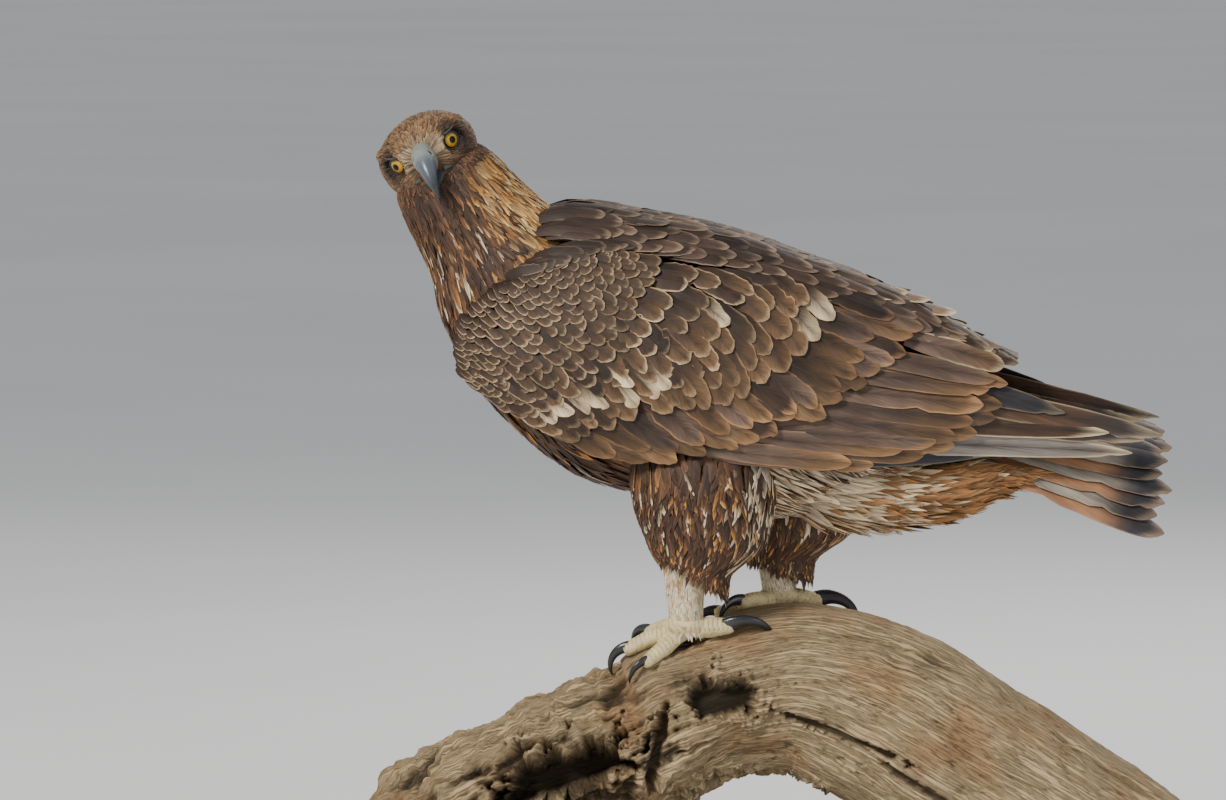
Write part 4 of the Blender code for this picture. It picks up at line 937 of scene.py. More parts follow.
def wood_material():
    """Grey weathered wood with warm fibres, and painted shade in its checks, crevices and hollows, nearly
    black in the hollows.
    """
    material, tree, shader = plain_material("Weathered wood", 0.85, 0.25)
    made = group("Weathered grain", {"Along": 2.4, "Around": 42.0, "Broad": 16.0},
                 ("Fibre", "Broad", "Checks", "Height"), build_grain)
    marks = tree.add("ShaderNodeGroup", node_tree=made)
    grey, warm = tone("wood_grey"), tone("wood_warm")
    base = colour_stops(tree, marks.outputs["Fibre"], (
        (0.26, tuple(grey * 0.22)), (0.44, tuple(grey * 0.75)), (0.58, tuple(grey * 1.1)),
        (0.76, tuple(grey * 1.6))))
    base = tree.mix(tree.step(marks.outputs["Broad"], 0.45, 0.68, 0.0, 0.75), base, (*warm, 1), "MIX")
    # Painted shade in the checks.
    base = tree.mix(tree.math("MULTIPLY", marks.outputs["Checks"], 0.55), base, (*(grey * 0.16), 1))
    # Painted shade from the limb's shade value, darkest in the hollows.
    base = tree.mix(tree.value("shade"), base, (*(grey * 0.05), 1))
    tree.tree.links.new(base, shader.inputs["Base Color"])
    bumped(tree, shader, marks.outputs["Height"], 0.003, 0.8)
    return material


def build_wear(tree, given):
    """Brushed lines and rubbed patches of painted metal, on Object coordinates."""
    where = tree.add("ShaderNodeTexCoord").outputs["Object"]
    brushed = tree.add("ShaderNodeMapping", {0: where, 3: (6.0, 260.0, 260.0)}).outputs[0]
    lines = tree.noise(brushed, 1.0, 3.0, 0.6)
    rubbed = tree.step(tree.noise(where, given["Patches"], 5.0, 0.65), 0.55, 0.75)
    return {"Lines": lines, "Rubbed": tree.math("MULTIPLY", rubbed, given["Amount"])}


def metal_material():
    """Dark satin metal of the display stand, a little rubbed."""
    material, tree, shader = plain_material("Stand metal", 0.4, 0.5, metallic=0.85)
    made = group("Metal wear", {"Patches": 12.0, "Amount": 0.5}, ("Lines", "Rubbed"), build_wear)
    marks = tree.add("ShaderNodeGroup", node_tree=made)
    dark = tone("stand_metal")
    base = tree.mix(marks.outputs["Rubbed"], (*dark, 1), (*(dark * 2.2), 1))
    tree.tree.links.new(base, shader.inputs["Base Color"])
    tree.tree.links.new(tree.step(marks.outputs["Lines"], 0.3, 0.7, 0.3, 0.5), shader.inputs["Roughness"])
    bumped(tree, shader, marks.outputs["Lines"], 0.0002, 0.3)
    return material


def tone(name):
    """A colour that the user can change, as an array."""
    return np.array(getattr(bpy.context.scene.eagle_colours, name))


def scatter(count, low, high, start=0.5):
    """Places spread evenly over a rectangle, in a fixed pattern with no rows."""
    n = np.arange(count)
    u = (start + n * 0.7548776662) % 1
    v = (start + n * 0.5698402910) % 1
    return np.stack([mix(low[0], high[0], u), mix(low[1], high[1], v)], -1)


def moved(rows, t, distance):
    """The parameter a distance further along a curve of the table, in millimetres."""
    fine = np.linspace(0, len(rows) - 1, 200)
    points = curve(rows, fine)[:, :3]
    run = np.concatenate([[0], np.cumsum(np.linalg.norm(np.diff(points, axis=0), axis=1))])
    return np.interp(np.interp(t, fine, run) + distance, run, fine)


def graded(root, tip, shape, start=0.4, end=1.0):
    """Colours that run from root to tip along each feather."""
    s = ramp(np.array(SHAPES[shape][0]), start, end)[None, :, None]
    return np.atleast_2d(root)[:, None] * (1 - s) + np.atleast_2d(tip)[:, None] * s


def blend_tones(a, b, share):
    share = np.asarray(share, float)[..., None]
    return np.asarray(a) * (1 - share) + np.asarray(b) * share


def rimmed(colours, strength):
    """Rim colours with their strength as a fourth value."""
    colours = np.atleast_2d(colours)
    return np.concatenate([colours, np.broadcast_to(np.asarray(strength, float).reshape(-1, 1),
                                                    (len(colours), 1))], -1)


def body_tones(t, angle):
    """Root and tip colours of the body's feathers at places on the trunk."""
    turn = np.abs((angle + PI) % (2 * PI) - PI)
    nape = ramp(t, 6.3, 6.9) * (1 - ramp(t, 8.9, 9.6)) * (1 - ramp(turn, 1.0, 1.4))
    mottle = 0.5 + 0.5 * np.sin(9 * turn + 5 * t)
    gold = blend_tones(tone("golden"), tone("straw"), mottle)
    chest = blend_tones(tone("warm_brown"), tone("dark_brown"), 0.45 + 0.4 * np.sin(4 * t + 3 * turn))
    throat = ramp(t, 7.9, 9.0) * ramp(turn, 0.9, 1.4) * (1 - ramp(turn, 2.3, 2.9))
    chest = blend_tones(chest, tone("dark_brown"), 0.85 * throat)
    shoulder = (1 - ramp(t, 6.2, 6.8)) * (1 - ramp(turn, 1.2, 1.7))
    chest = blend_tones(chest, tone("scapular"), shoulder)
    tips = blend_tones(chest * 1.45, tone("golden"), 0.12 * ramp(t, 4.5, 6.5) * ramp(turn, 1.4, 2.0))
    tips = blend_tones(tips, tone("dark_brown") * 1.5, 0.8 * throat)
    return blend_tones(chest, gold * 0.3, nape), blend_tones(tips, gold * 0.95, nape)


def head_tones(points):
    """Root and tip colours of the head's feathers, from places in the head's own frame, with painted sunlight
    on the bird's right cheek and painted shade on the lower face on the bird's left.
    """
    x, y, z = np.moveaxis(points, -1, 0)
    base = blend_tones(tone("crown_brown") * 0.55, tone("crown_brown"), 0.5 + 0.4 * np.sin(0.5 * x + 0.3 * y))
    tips = blend_tones(tone("crown_brown"), tone("straw"), 0.2 + 0 * x)
    buff = 0.5 * ramp(x, 29, 34) * ramp(z, -8, 6)
    base = blend_tones(base, tone("cream") * 0.6, buff)
    tips = blend_tones(tips, tone("cream"), buff)
    # Painted sunlight: the pale cheek colour on the bird's right cheek stands for sun falling on that side.
    cheek = ramp(-y, 16, 30) * (1 - ramp(z, 2, 12)) * ramp(x, -26, -6)
    base = blend_tones(base, tone("cheek") * 0.7, cheek)
    tips = blend_tones(tips, tone("cheek"), cheek)
    for toward, strength in ((1, 1.0), (-1, 0.95)):
        centre, aim = eye_axes(toward)
        away = np.linalg.norm(points - centre - aim * 8, axis=-1)
        ring = strength * (1 - ramp(away, 10, 19))
        base = blend_tones(base, tone("dark_brown") * 0.7, ring)
        tips = blend_tones(tips, tone("dark_brown") * 1.6, ring)
    # Painted shade: the lower face on the bird's left, turned away from the light, is darkened.
    dark = ramp(y, 2, 16) * (1 - ramp(y, 36, 46)) * ramp(-z, 2, 14)
    base = blend_tones(base, tone("dark_brown"), dark)
    tips = blend_tones(tips, tone("dark_brown") * 1.7, dark)
    throat = ramp(-z, 16, 26) * (1 - cheek)
    base = blend_tones(base, tone("dark_brown"), throat)
    tips = blend_tones(tips, tone("warm_brown"), throat * 0.8)
    nape = ramp(-x, 18, 36)
    base = blend_tones(base, tone("warm_brown"), nape * 0.8)
    return base, blend_tones(tips, tone("golden") * 0.8, nape * 0.7)


def closed_tube(surface, low, high, lap=0.06):
    """Places round a surface of parameter and angle, drawn together at both ends."""
    def place(u, v):
        along, close = capped(v, lap)
        t = mix(low, high, along)
        turn = u * 2 * PI
        point = surface(t, turn)
        centre = (surface(t, turn * 0) + surface(t, turn * 0 + PI)) / 2
        return centre + (point - centre) * close[:, None]
    return place


def closed_sheet(outer, inner):
    """Places over an outer and back under an inner surface, drawn together at both ends."""
    def place(u, v):
        fold = 1 - np.abs(2 * v - 1)
        top, under = outer(u, fold), inner(u, fold)
        centre = (top + under) / 2
        close = capped(u, 0.08)[1][:, None]
        return centre + (np.where((v < 0.5)[:, None], top, under) - centre) * close
    return place


def wing_sheet(toward, lift):
    """The wing's flesh, as a surface over its place along and its place up the plan."""
    def place(u, w):
        x = mix(-236, 168, u)
        low, high = np.moveaxis(curve_at(WING_PLAN, x), -1, 0)
        return wing(toward, x, mix(low, high, w), lift)
    return place


def back_sheet(lift):
    """The back's flesh between the wings."""
    def place(u, w):
        x = mix(-166, 198, u)
        half = curve_at(MANTLE_PLAN, x)[..., 0] * (2 * w - 1)
        size = curve_at(ENVELOPE, x)[..., 0]
        angle = np.arcsin(np.clip(half / size, -0.95, 0.95))
        return back(1, x, angle, lift)
    return place


def skin_parts():
    """Every part of the flesh as its place function, its grid and the tones of its points."""
    def plain(name, factor=0.8):
        return lambda points: np.broadcast_to(tone(name) * factor, (len(points), 3))

    def trunk_tone(points):
        t = np.interp(-points[:, 0], [-row[0] for row in TRUNK], np.arange(len(TRUNK)))
        centre = curve(TRUNK, t)[:, :3]
        away = points - centre
        return body_tones(t, np.arctan2(-away[:, 1], away[:, 2]))[0] * 0.8

    def head_tone(points):
        return head_tones((points - np.array(HEAD_CENTRE)) @ HEAD)[0] * 0.8

    tail_rows = ((8, 24, 24), (45, 27, 20), (85, 30, 12), (118, 32, 5))

    def tail_core(t, angle):
        reach, half, high = np.moveaxis(curve(tail_rows, t), -1, 0)
        ahead, side, up = tail_axes()
        centre = np.array(TAIL_ROOT) + ahead * reach[..., None] - up * (high * 0.35)[..., None]
        return centre + side * (half * np.sin(angle))[..., None] + up * (high * np.cos(angle))[..., None]

    parts = [
        (closed_tube(lambda t, a: trunk(t, a, -2), 0, 10), 96, 180, trunk_tone),
        (closed_tube(lambda t, a: head(t, a, -1), 0, 9), 150, 150, head_tone),
        (closed_sheet(back_sheet(-9), back_sheet(-42)), 90, 60, plain("mantle_brown")),
        (closed_tube(tail_core, 0, 3), 40, 40, plain("tail_brown")),
        (closed_tube(lambda x, a: undertail(x, a, -8), 44, 240), 40, 60, plain("rust")),
    ]
    for toward in (-1, 1):
        parts.append((closed_sheet(wing_sheet(toward, -3), wing_sheet(toward, -40)), 100, 90,
                      plain("wing_brown")))
    for leg in LEGS.values():
        high, low = leg["thigh"][0][1], leg["hem"][0] + 6
        parts.append((closed_tube(lambda h, a, leg=leg: thigh(leg, h, a, -5), high, low, 0.12), 48, 50,
                      plain("warm_brown")))
        parts.append((closed_tube(lambda h, a, leg=leg: tarsus(leg, h, a, -2), -0.02, 1.25), 32, 60,
                      plain("cream")))
    return parts


def make_skin():
    """One skin over head, trunk, wings, tail root and legs, which stands for the flesh nodes."""
    work = bmesh.new()
    samples = []
    for place, across, along, tones in skin_parts():
        made = warp(work, across, along, place)
        points = (np.array([v.co for v in made]) - (0, 0, STAND_LIFT * MM)) / MM
        samples.append((points, tones(points)))
    flesh = ["torso", "neck", "head", "mantle", "wing_l", "wing_r", "tail", "undertail_coverts",
             "thigh_l", "thigh_r", "tarsus_l", "tarsus_r"]
    skin = piece_from(work, "skin", skin_material(), flesh, (
        ("REMESH", {"mode": "VOXEL", "voxel_size": SKIN_VOXEL, "use_smooth_shade": True}),
        ("SMOOTH", {"factor": 0.5, "iterations": 4}),
    ))
    points = np.concatenate([p for p, _ in samples])
    tones = np.concatenate([c for _, c in samples])
    tree = KDTree(len(points))
    for i, point in enumerate(points):
        tree.insert(point, i)
    tree.balance()
    nearest = [tree.find(point)[1] for point in points_of(skin)]
    attribute = skin.data.attributes.new("tint", "FLOAT_COLOR", "POINT")
    shades = np.concatenate([tones[nearest], np.ones((len(nearest), 1))], -1)
    attribute.data.foreach_set("color", shades.reshape(-1).astype(np.float32))
    return skin


def section(row, turn):
    """Across and up places round a bill's section."""
    high, half = row[..., 4], row[..., 5]
    rise = np.cos(turn)
    across = half * np.sign(np.sin(turn)) * np.abs(np.sin(turn)) ** 0.9
    return across, high * np.where(rise > 0, rise, rise * 0.92)


def bill_place(rows, shaped):
    """Places on a horn that follows the table, where shaped changes points in the head's frame."""
    def place(u, v):
        along, close = capped(v, 0.03)
        row = curve(rows, along * (len(rows) - 1))
        turn = u * 2 * PI
        across, up = section(row, turn)
        ahead = unit(np.stack([row[..., 2], 0 * along, row[..., 3]], -1))
        above = np.cross(ahead, np.broadcast_to((0, 1.0, 0), ahead.shape))
        centre = np.stack([row[..., 0], 0 * along, row[..., 1]], -1)
        point = centre + (above * up[:, None] + np.array((0, 1, 0)) * across[:, None]) * close[:, None]
        return from_head(shaped(point, along, turn))
    return place


NOSTRIL = (43.0, 7.8, 7.5)


def upper_horn(points, along, turn):
    """Rounds the cere over the horn, pinches the culmen and sinks the nostrils."""
    points = np.array(points)
    outward = unit(points * (0, 1, 1))
    cere = 1 - ramp(points[:, 0] + 0.35 * np.abs(points[:, 1]), 43.5, 46)
    points = points + outward * (0.9 * cere)[:, None]
    for toward in (1, -1):
        away = np.linalg.norm((points - np.array(NOSTRIL) * (1, toward, 1)) / (1.9, 3.0, 3.3), axis=-1)
        points[:, 1] -= toward * 2.4 * (1 - ramp(away, 0.55, 1.05))
        points[:, 1] += toward * 0.5 * np.exp(-((away - 1.35) / 0.3) ** 2)
    return points


def make_bill():
    """Both halves of the bill, with the pale cere, the nostrils and the dark hooked point."""
    stops = ((0.0, tuple(tone("cere"))), (0.3, tuple(tone("cere"))), (0.38, tuple(tone("bill_grey") * 1.35)),
             (0.55, tuple(tone("bill_grey"))), (0.74, tuple(tone("bill_grey") * 0.35)),
             (1.0, (0.01, 0.01, 0.012)))
    horn = horn_material("Bill horn", stops)
    forms = (("bill_upper_horn", UPPER_BILL, upper_horn, "bill_upper"),
             ("bill_lower_horn", LOWER_BILL, lambda p, along, turn: p, "bill_lower"))
    for name, rows, shaped, node in forms:
        work = bmesh.new()
        warp(work, 120, 200, bill_place(rows, shaped))
        bill = piece_from(work, name, horn, [node])
        points = (points_of(bill) - np.array(HEAD_CENTRE)) @ HEAD
        fine = np.linspace(0, len(rows) - 1, 240)
        table = curve(rows, fine)
        gap = np.linalg.norm(points[:, None, [0, 2]] - table[None, :, [0, 1]], axis=-1)
        reach = fine[np.argmin(gap, axis=1)] / (len(rows) - 1)
        mark(bill, "reach", reach if node == "bill_upper" else 0.35 + reach * 0.6)
        # Painted shade in the nostrils: points in the sunk nostril hollows are marked dark.
        dark = np.zeros(len(points))
        for toward in (1, -1):
            away = np.linalg.norm((points - np.array(NOSTRIL) * (1, toward, 1)) / (2.4, 3.0, 3.1), axis=-1)
            dark = np.maximum(dark, 1 - ramp(away, 0.55, 0.95))
        mark(bill, "dark", dark)


def make_eyes():
    """Both eyeballs, each one opaque ball with its iris and pupil marked on it."""
    wet = eye_material(tuple(tone("iris")), tuple(tone("iris_low")))
    for name, toward in (("l", 1), ("r", -1)):
        centre, aim = eye_axes(toward)
        level = np.cross((0, 0, 1.0), aim)
        level = level / np.linalg.norm(level)
        above = np.cross(aim, level)

        def ball(u, v, centre=centre, aim=aim, level=level, above=above):
            polar, turn = v * PI, u * 2 * PI
            bulge = EYE_RADIUS + 0.8 * np.exp(-((polar / 0.55) ** 2))
            out = np.cos(polar)[:, None] * aim
            out = out + (np.sin(polar) * np.cos(turn))[:, None] * level
            out = out + (np.sin(polar) * np.sin(turn))[:, None] * above
            return from_head(centre + out * bulge[:, None])

        work = bmesh.new()
        warp(work, 96, 96, ball)
        eye = piece_from(work, "eyeball_" + name, wet, ["eye_" + name])
        away = unit((points_of(eye) - np.array(HEAD_CENTRE)) @ HEAD - centre)
        mark(eye, "axis", np.arccos(np.clip(away @ aim, -1, 1)))
        mark(eye, "spoke", np.arctan2(away @ above, away @ level))
        mark(eye, "drop", -(away @ above) * 2)


def face_material():
    """Bare skin of the face: dark lids, and brows and gape coloured dark as painted shade."""
    material, tree, shader = plain_material("Face skin", 0.45, 0.45, 0.15)
    marks = pores(tree, 1500.0, 120.0)
    tint = tree.add("ShaderNodeAttribute", attribute_name="tint").outputs["Color"]
    shade = tree.step(marks.outputs["Blotch"], 0.3, 0.7, 0.7, 1.2)
    tree.tree.links.new(tree.mix(1.0, tint, tree.vector(shade, shade, shade), "MULTIPLY"),
                        shader.inputs["Base Color"])
    bumped(tree, shader, marks.outputs["Height"], 0.0004)
    return material


def skull_strip(rows, u, v):
    """A place on a strip of skin that lies on the skull, with both ends closed."""
    return from_head(closed_rows(rows, 0.1)(u, v))


def make_face():
    """Lids round the eyes, brow ridges over them and the fleshy gape beside the bill."""
    work = bmesh.new()
    tones = []
    for toward in (1, -1):
        centre, aim = eye_axes(toward)
        level = np.cross((0, 0, 1.0), aim)
        level = level / np.linalg.norm(level)
        above = np.cross(aim, level)
        turn = np.linspace(0, 2 * PI, 25)[:-1]
        ring = []
        for a in turn:
            sink = 7.4 + 1.1 * max(0.0, math.sin(a)) - 0.3 * max(0.0, -math.sin(a))
            reach = 8.3 - 1.4 * max(0.0, math.sin(a)) ** 2
            ring.append((*(centre + aim * sink + level * math.cos(a) * reach + above * math.sin(a) * reach),
                         1.5, 1.7))
        ring = np.array(ring + ring[:3])

        def lid(u, v, ring=ring):
            return from_head(tube_form(ring, 1 + v * (len(ring) - 3), u * 2 * PI))

        paths = ((lid, 20, 96, tone("lid")),)
        brow = [(*p, *h) for p, h in zip(mirrored(BROW_PATH, toward),
                                         ((0.7, 0.8), (1.1, 1.0), (1.2, 1.1), (0.6, 0.6)))]
        lip = [(*p, *h) for p, h in zip(mirrored(LIP_PATH, toward),
                                        ((1.9, 2.6), (2.1, 2.5), (1.7, 2.0), (0.9, 1)))]
        # The brow and gape colours are painted shade: both are coloured dark to stand for a shadowed brow
        # edge and the shaded gape line.
        for rows, shade in ((brow, tone("brow")), (lip, tone("gape"))):
            paths += ((partial(skull_strip, rows), 24, 60, shade),)
        for place, across, along, shade in paths:
            before = len(work.verts)
            warp(work, across, along, place)
            tones.append((before, len(work.verts), shade))
    layer = work.verts.layers.float_color.new("tint")
    work.verts.ensure_lookup_table()
    for low, high, shade in tones:
        for i in range(low, high):
            work.verts[i][layer] = (*shade, 1)
    piece_from(work, "face_skin", face_material())


def head_local(t, angle, lift=0.0):
    """A point on the head in the head's own frame."""
    return (head(t, angle, lift) - np.array(HEAD_CENTRE)) @ HEAD


def eye_gap(points):
    """How far points lie from the nearer eye's axis, in front of that eye."""
    gap = np.full(points.shape[:-1], 1e9)
    for toward in (1, -1):
        centre, aim = eye_axes(toward)
        offset = points - centre
        along = offset @ aim
        around = np.linalg.norm(offset - along[..., None] * aim, axis=-1)
        gap = np.minimum(gap, np.where(along > -3, around, 1e9))
    return gap


def face_clear(points, margin):
    """Which places on the head are free of the eyes, brows, gape and bill."""
    free = eye_gap(points) > 9.3 + margin
    for toward in (1, -1):
        free &= distance_to_path(points, mirrored(BROW_PATH[:3], toward)) > 2.6 + margin * 0.5
        free &= distance_to_path(points, mirrored(LIP_PATH[:3], toward)) > 2.4 + margin * 0.5
    bill = (points[..., 1] / 13) ** 2 + ((points[..., 2] - 2) / 15) ** 2
    return free & ~((points[..., 0] > 28) & (bill < 1 + margin * 0.1))


def head_place(x):
    return np.interp(x, [row[0] for row in HEAD_ROWS], np.arange(len(HEAD_ROWS)))


FIRST_LESSER = ((-112, 637), (-150, 626), (-184, 606), (-212, 592), (-232, 570), (-237, 545), (-229, 520))
MIDDLE_ROW = ((-58, 626), (-76, 598), (-92, 572), (-118, 550), (-147, 530), (-168, 508), (-182, 490))
LAST_MEDIAN = ((98, 582), (71, 552), (32, 521), (-9, 505), (-50, 502), (-100, 486), (-138, 472))
FIRST_SLOPES = (4, 22, 48, 52, 45, 38, 32)
MIDDLE_SLOPES = (5, 14, 26, 36, 40, 38, 32)
LAST_SLOPES = (44, 52, 56, 55, 50, 42, 32)


def sloped(tips, degrees, length):
    """Roots of feathers that end at the tips and point down by so many degrees."""
    slope = np.radians(np.asarray(degrees, float))
    return np.asarray(tips, float) - np.stack([np.cos(slope), -np.sin(slope)], -1) * length


def hem(leg, angle):
    """Height where a thigh's feathers end, higher in front than behind."""
    front, behind = leg["hem"]
    return mix(behind, front, (1 + np.cos(angle)) / 2)


SKULL_GIRTH = 34.0


def make_head_coat():
    """Small lance-shaped feathers of the head, finest on the face."""
    coat = Coat(11)
    sets = ((1350, -49.7, 8, 15, 5.5, "hackle", 1.2), (2600, -20, 32, 8, 3.4, "scale", 0.0),
            (3000, 2, 35, 4.4, 2.1, "scale", -1.0))
    for number, low, high, length, width, shape, margin in sets:
        places = scatter(number, (low, -PI), (high, PI), 0.37 * length % 1)
        jitter = coat.draw.normal(0, 1, (number, 3))
        size = length * (1 + 0.16 * jitter[:, 0].clip(-2, 2))
        sides = np.sin(places[:, 1])
        drift = 0.45 * sides * np.abs(sides) + 0.14 * jitter[:, 1]
        root = np.stack([head_place(places[:, 0]), places[:, 1]], -1)
        tip = np.stack([head_place(places[:, 0] - size), places[:, 1] + size * drift / SKULL_GIRTH], -1)
        girths = np.array([(row[4], row[0]) for row in HEAD_ROWS[:4]])
        around = np.interp(places[:, 0], girths[:, 1], girths[:, 0])
        inward = np.clip(around - size * np.cos(places[:, 1]), girths[0, 0], girths[-1, 0])
        sink = np.stack([head_place(np.interp(inward, *girths.T)),
                         places[:, 1] + sides * size / np.maximum(around, 12)], -1)
        tip = mix(tip, sink, ramp(-places[:, :1], 16, 30))
        start, middle, end = (head_local(*(mix(root, tip, s).T)) for s in (0, 0.55, 1))
        keep = face_clear(start, margin) & face_clear(middle, margin) & face_clear(end, margin - 0.4)
        base, tips = head_tones(start)
        light = random_tone(coat, number, 0.2)
        streak = (coat.draw.random((number, 1)) < 0.3) * 1.0
        base = base * light * (1 - 0.6 * streak)
        tips = tips * light * (1 - 0.65 * streak)
        near = np.clip((eye_gap(start) - 9) / 14, 0.4, 1)
        rise = near * (length / 15) ** 0.5
        coat.lay(head, root[keep], tip[keep], (width * (1 + 0.1 * jitter[:, 2]))[keep],
                 (-2.2, -0.4 + 1.3 * rise[keep], -0.4 + 2.0 * rise[keep]), shape,
                 graded(base[keep], tips[keep], shape, 0.35), rimmed(tips[keep] * 1.3, 0.5),
                 roll=0.14 * jitter[keep, 1], camber=0.3, thick=0.5, ragged=0.14)
    coat.make("coat_head", feather_material("Head feathers", barbs=10.0, streaks=1.2, patches=0.6,
                                            heart=0.35))


def tiles(rows, columns, low, high, draw, spread_by=0.3):
    """Places in staggered rows over a rectangle, each moved a little at random."""
    r, c = np.meshgrid(np.arange(rows), np.arange(columns), indexing="ij")
    along = (r + spread_by * draw.normal(0, 0.5, r.shape)) / max(rows - 1, 1)
    across = (c + 0.5 * (r % 2) + spread_by * draw.normal(0, 0.5, r.shape)) / columns
    return np.stack([mix(low[0], high[0], along), mix(low[1], high[1], across)], -1).reshape(-1, 2)


def hidden_by_wing(points, inside=14):
    """Which points lie well under a folded wing."""
    low, high = np.moveaxis(curve_at(WING_PLAN, points[:, 0]), -1, 0)
    within = (points[:, 0] > -212) & (points[:, 0] < 150)
    return within & (points[:, 2] > low + inside) & (points[:, 2] < high - inside)


def trunk_feathers(coat, places, length, width, lifts, shape, **form):
    """Feathers on the trunk that run back and down from their places, with some number for each."""
    count = len(places)
    t, angle = places.T
    length = np.broadcast_to(length, (count,)) * (1 + 0.12 * coat.draw.normal(0, 1, count).clip(-2, 2))
    tip_t = moved(TRUNK, t, -length)
    drift = form.pop("drift", 0.0)
    root = np.stack([t, angle], -1)
    tip = np.stack([tip_t, angle + drift + 0.06 * coat.draw.normal(0, 1, count)], -1)
    keep = ~hidden_by_wing(trunk(*root.T), form.pop("inside", 14))
    keep &= form.pop("also", True)
    base, tips = body_tones(t, angle)
    light = random_tone(coat, count, form.pop("uneven", 0.15))
    base, tips = base * light, tips * light
    for pale, share in form.pop("streaks", ()):
        chosen = (coat.draw.random(count) < share)[:, None]
        tips = np.where(chosen, pale * light, tips)
        base = np.where(chosen, mix(base, pale, 0.35), base)
    strength = form.pop("rim", 0.5) * (0.4 + 0.9 * coat.draw.random(count))
    coat.lay(trunk, root[keep], tip[keep], np.broadcast_to(width, (count,))[keep], lifts, shape,
             graded(base[keep], tips[keep], shape), rimmed(np.minimum(tips * 1.5, 0.8), strength)[keep],
             roll=form.pop("tilt", 0.12) * coat.draw.normal(0, 1, keep.sum()),
             bend=0.03 * coat.draw.normal(0, 1, keep.sum()), **form)


def make_neck_coat():
    """Fine feathers of the throat and long pointed hackles of the nape and neck."""
    coat = Coat(12)
    fine = tiles(17, 110, (9.97, -PI), (8.3, PI), coat.draw, 0.8)
    trunk_feathers(coat, fine, mix(15, 24, ramp(-fine[:, 0], -9.9, -8.6)), 4.4, (-5, -2.2, -0.8), "tuft",
                   camber=0.3,
                   thick=0.6, ragged=0.14, uneven=0.25, inside=30,
                   streaks=((tone("warm_brown") * 1.5, 0.2), (tone("dark_brown"), 0.3)))
    places = tiles(24, 84, (9.0, -PI), (6.0, PI), coat.draw, 0.8)
    length = mix(26, 40, ramp(-places[:, 0], -9.0, -7.2))
    width = mix(5.0, 7.5, ramp(-places[:, 0], -8.6, -6.5))
    turn = np.abs((places[:, 1] + PI) % (2 * PI) - PI)
    front = turn > 1.5
    low = places[:, 0] < 8.3
    for chosen, streaks in (
            (~front, ((tone("straw"), 0.2), (tone("dark_brown"), 0.24), (tone("golden"), 0.25))),
            (front & low, ((tone("cream") * 1.1, 0.12), (tone("golden"), 0.1), (tone("dark_brown"), 0.35))),
            (front & ~low, ((tone("warm_brown") * 1.4, 0.2), (tone("dark_brown"), 0.25)))):
        trunk_feathers(coat, places, length, width, (-5, -0.5, 1.6), "hackle", camber=0.3, thick=0.7,
                       ragged=0.14,
                       uneven=0.22, inside=30, also=chosen, streaks=streaks, tilt=0.25)
    coat.make("coat_neck", feather_material("Hackles", barbs=16.0, streaks=1.3, heart=0.3, slant=0.5))


def make_breast_coat():
    """Overlapping pointed feathers of the breast, sides and belly."""
    coat = Coat(13)
    places = tiles(36, 84, (7.0, -PI), (1.0, PI), coat.draw, 0.7)
    turn = np.abs((places[:, 1] + PI) % (2 * PI) - PI)
    keep = turn > np.where(places[:, 0] > 5.6, 0.5, 1.1)
    trunk_feathers(coat, places, mix(32, 46, ramp(-places[:, 0], -6, -3)),
                   mix(9, 15, ramp(-places[:, 0], -6.5, -4)),
                   (-5, 0.5, 3.5), "hackle", camber=0.25, thick=0.8, ragged=0.14, also=keep, tilt=0.18,
                   inside=60,
                   streaks=((tone("golden"), 0.13), (tone("cream"), 0.05), (tone("dark_brown"), 0.25)),
                   rim=0.9)
    coat.make("coat_breast", feather_material("Breast feathers", barbs=20.0, streaks=1.2, rim_width=0.22,
                                              heart=0.4))


def make_vent_coat():
    """Loose down of the lower belly and vent, and the long soft coverts under the tail."""
    coat = Coat(14)
    places = scatter(2300, (3.4, 1.4), (0.3, 2 * PI - 1.4))
    trunk_feathers(coat, places, 58, mix(4.5, 7, coat.draw.random(len(places))), (-2, 6.0, 13.0), "hackle",
                   camber=0.3,
                   thick=0.6, ragged=0.35, uneven=0.3, drift=0.25 * np.sin(places[:, 1]),
                   inside=70, tilt=0.5, streaks=((tone("down_grey") * 1.3, 0.5), (tone("cream"), 0.3)),
                   rim=0.4)
    number = 1700
    places = scatter(number, (40, -2.1), (232, 2.1), 0.2)
    size = (62 + 24 * coat.draw.normal(0, 0.6, number)) * mix(1, 0.65, ramp(places[:, 0], 170, 236))
    tip = places + np.stack([size, 0.16 * coat.draw.normal(0, 1, number)], -1)
    light = random_tone(coat, number, 0.22)
    share = coat.draw.random(number)
    front = 1 - ramp(places[:, 0], 70, 150)
    fluff = ramp(share, 0.8 - 0.65 * front, 1.0 - 0.6 * front)
    base = blend_tones(blend_tones(tone("rust"), tone("dark_brown"), ramp(share, 0.0, 0.5) * 0.7),
                       tone("down_grey"), fluff) * light
    tips = blend_tones(tone("rust") * 1.4, tone("cream") * 0.8, fluff) * light
    rise = 6 + 11 * coat.draw.random(number) ** 2 * np.cos(places[:, 1] * 0.5) ** 2
    coat.lay(undertail, places, tip, mix(7, 12, coat.draw.random(number)), (-6, 2, rise), "hackle",
             graded(base, tips, "hackle"), rimmed(tips, 0.5), roll=0.3 * coat.draw.normal(0, 1, number),
             camber=0.3,
             thick=0.6, ragged=0.25, bend=0.05 * coat.draw.normal(0, 1, number))
    coat.make("coat_vent", feather_material("Vent down", barbs=14.0, streaks=1.3, heart=0.0,
                                            shaft_width=0.04))


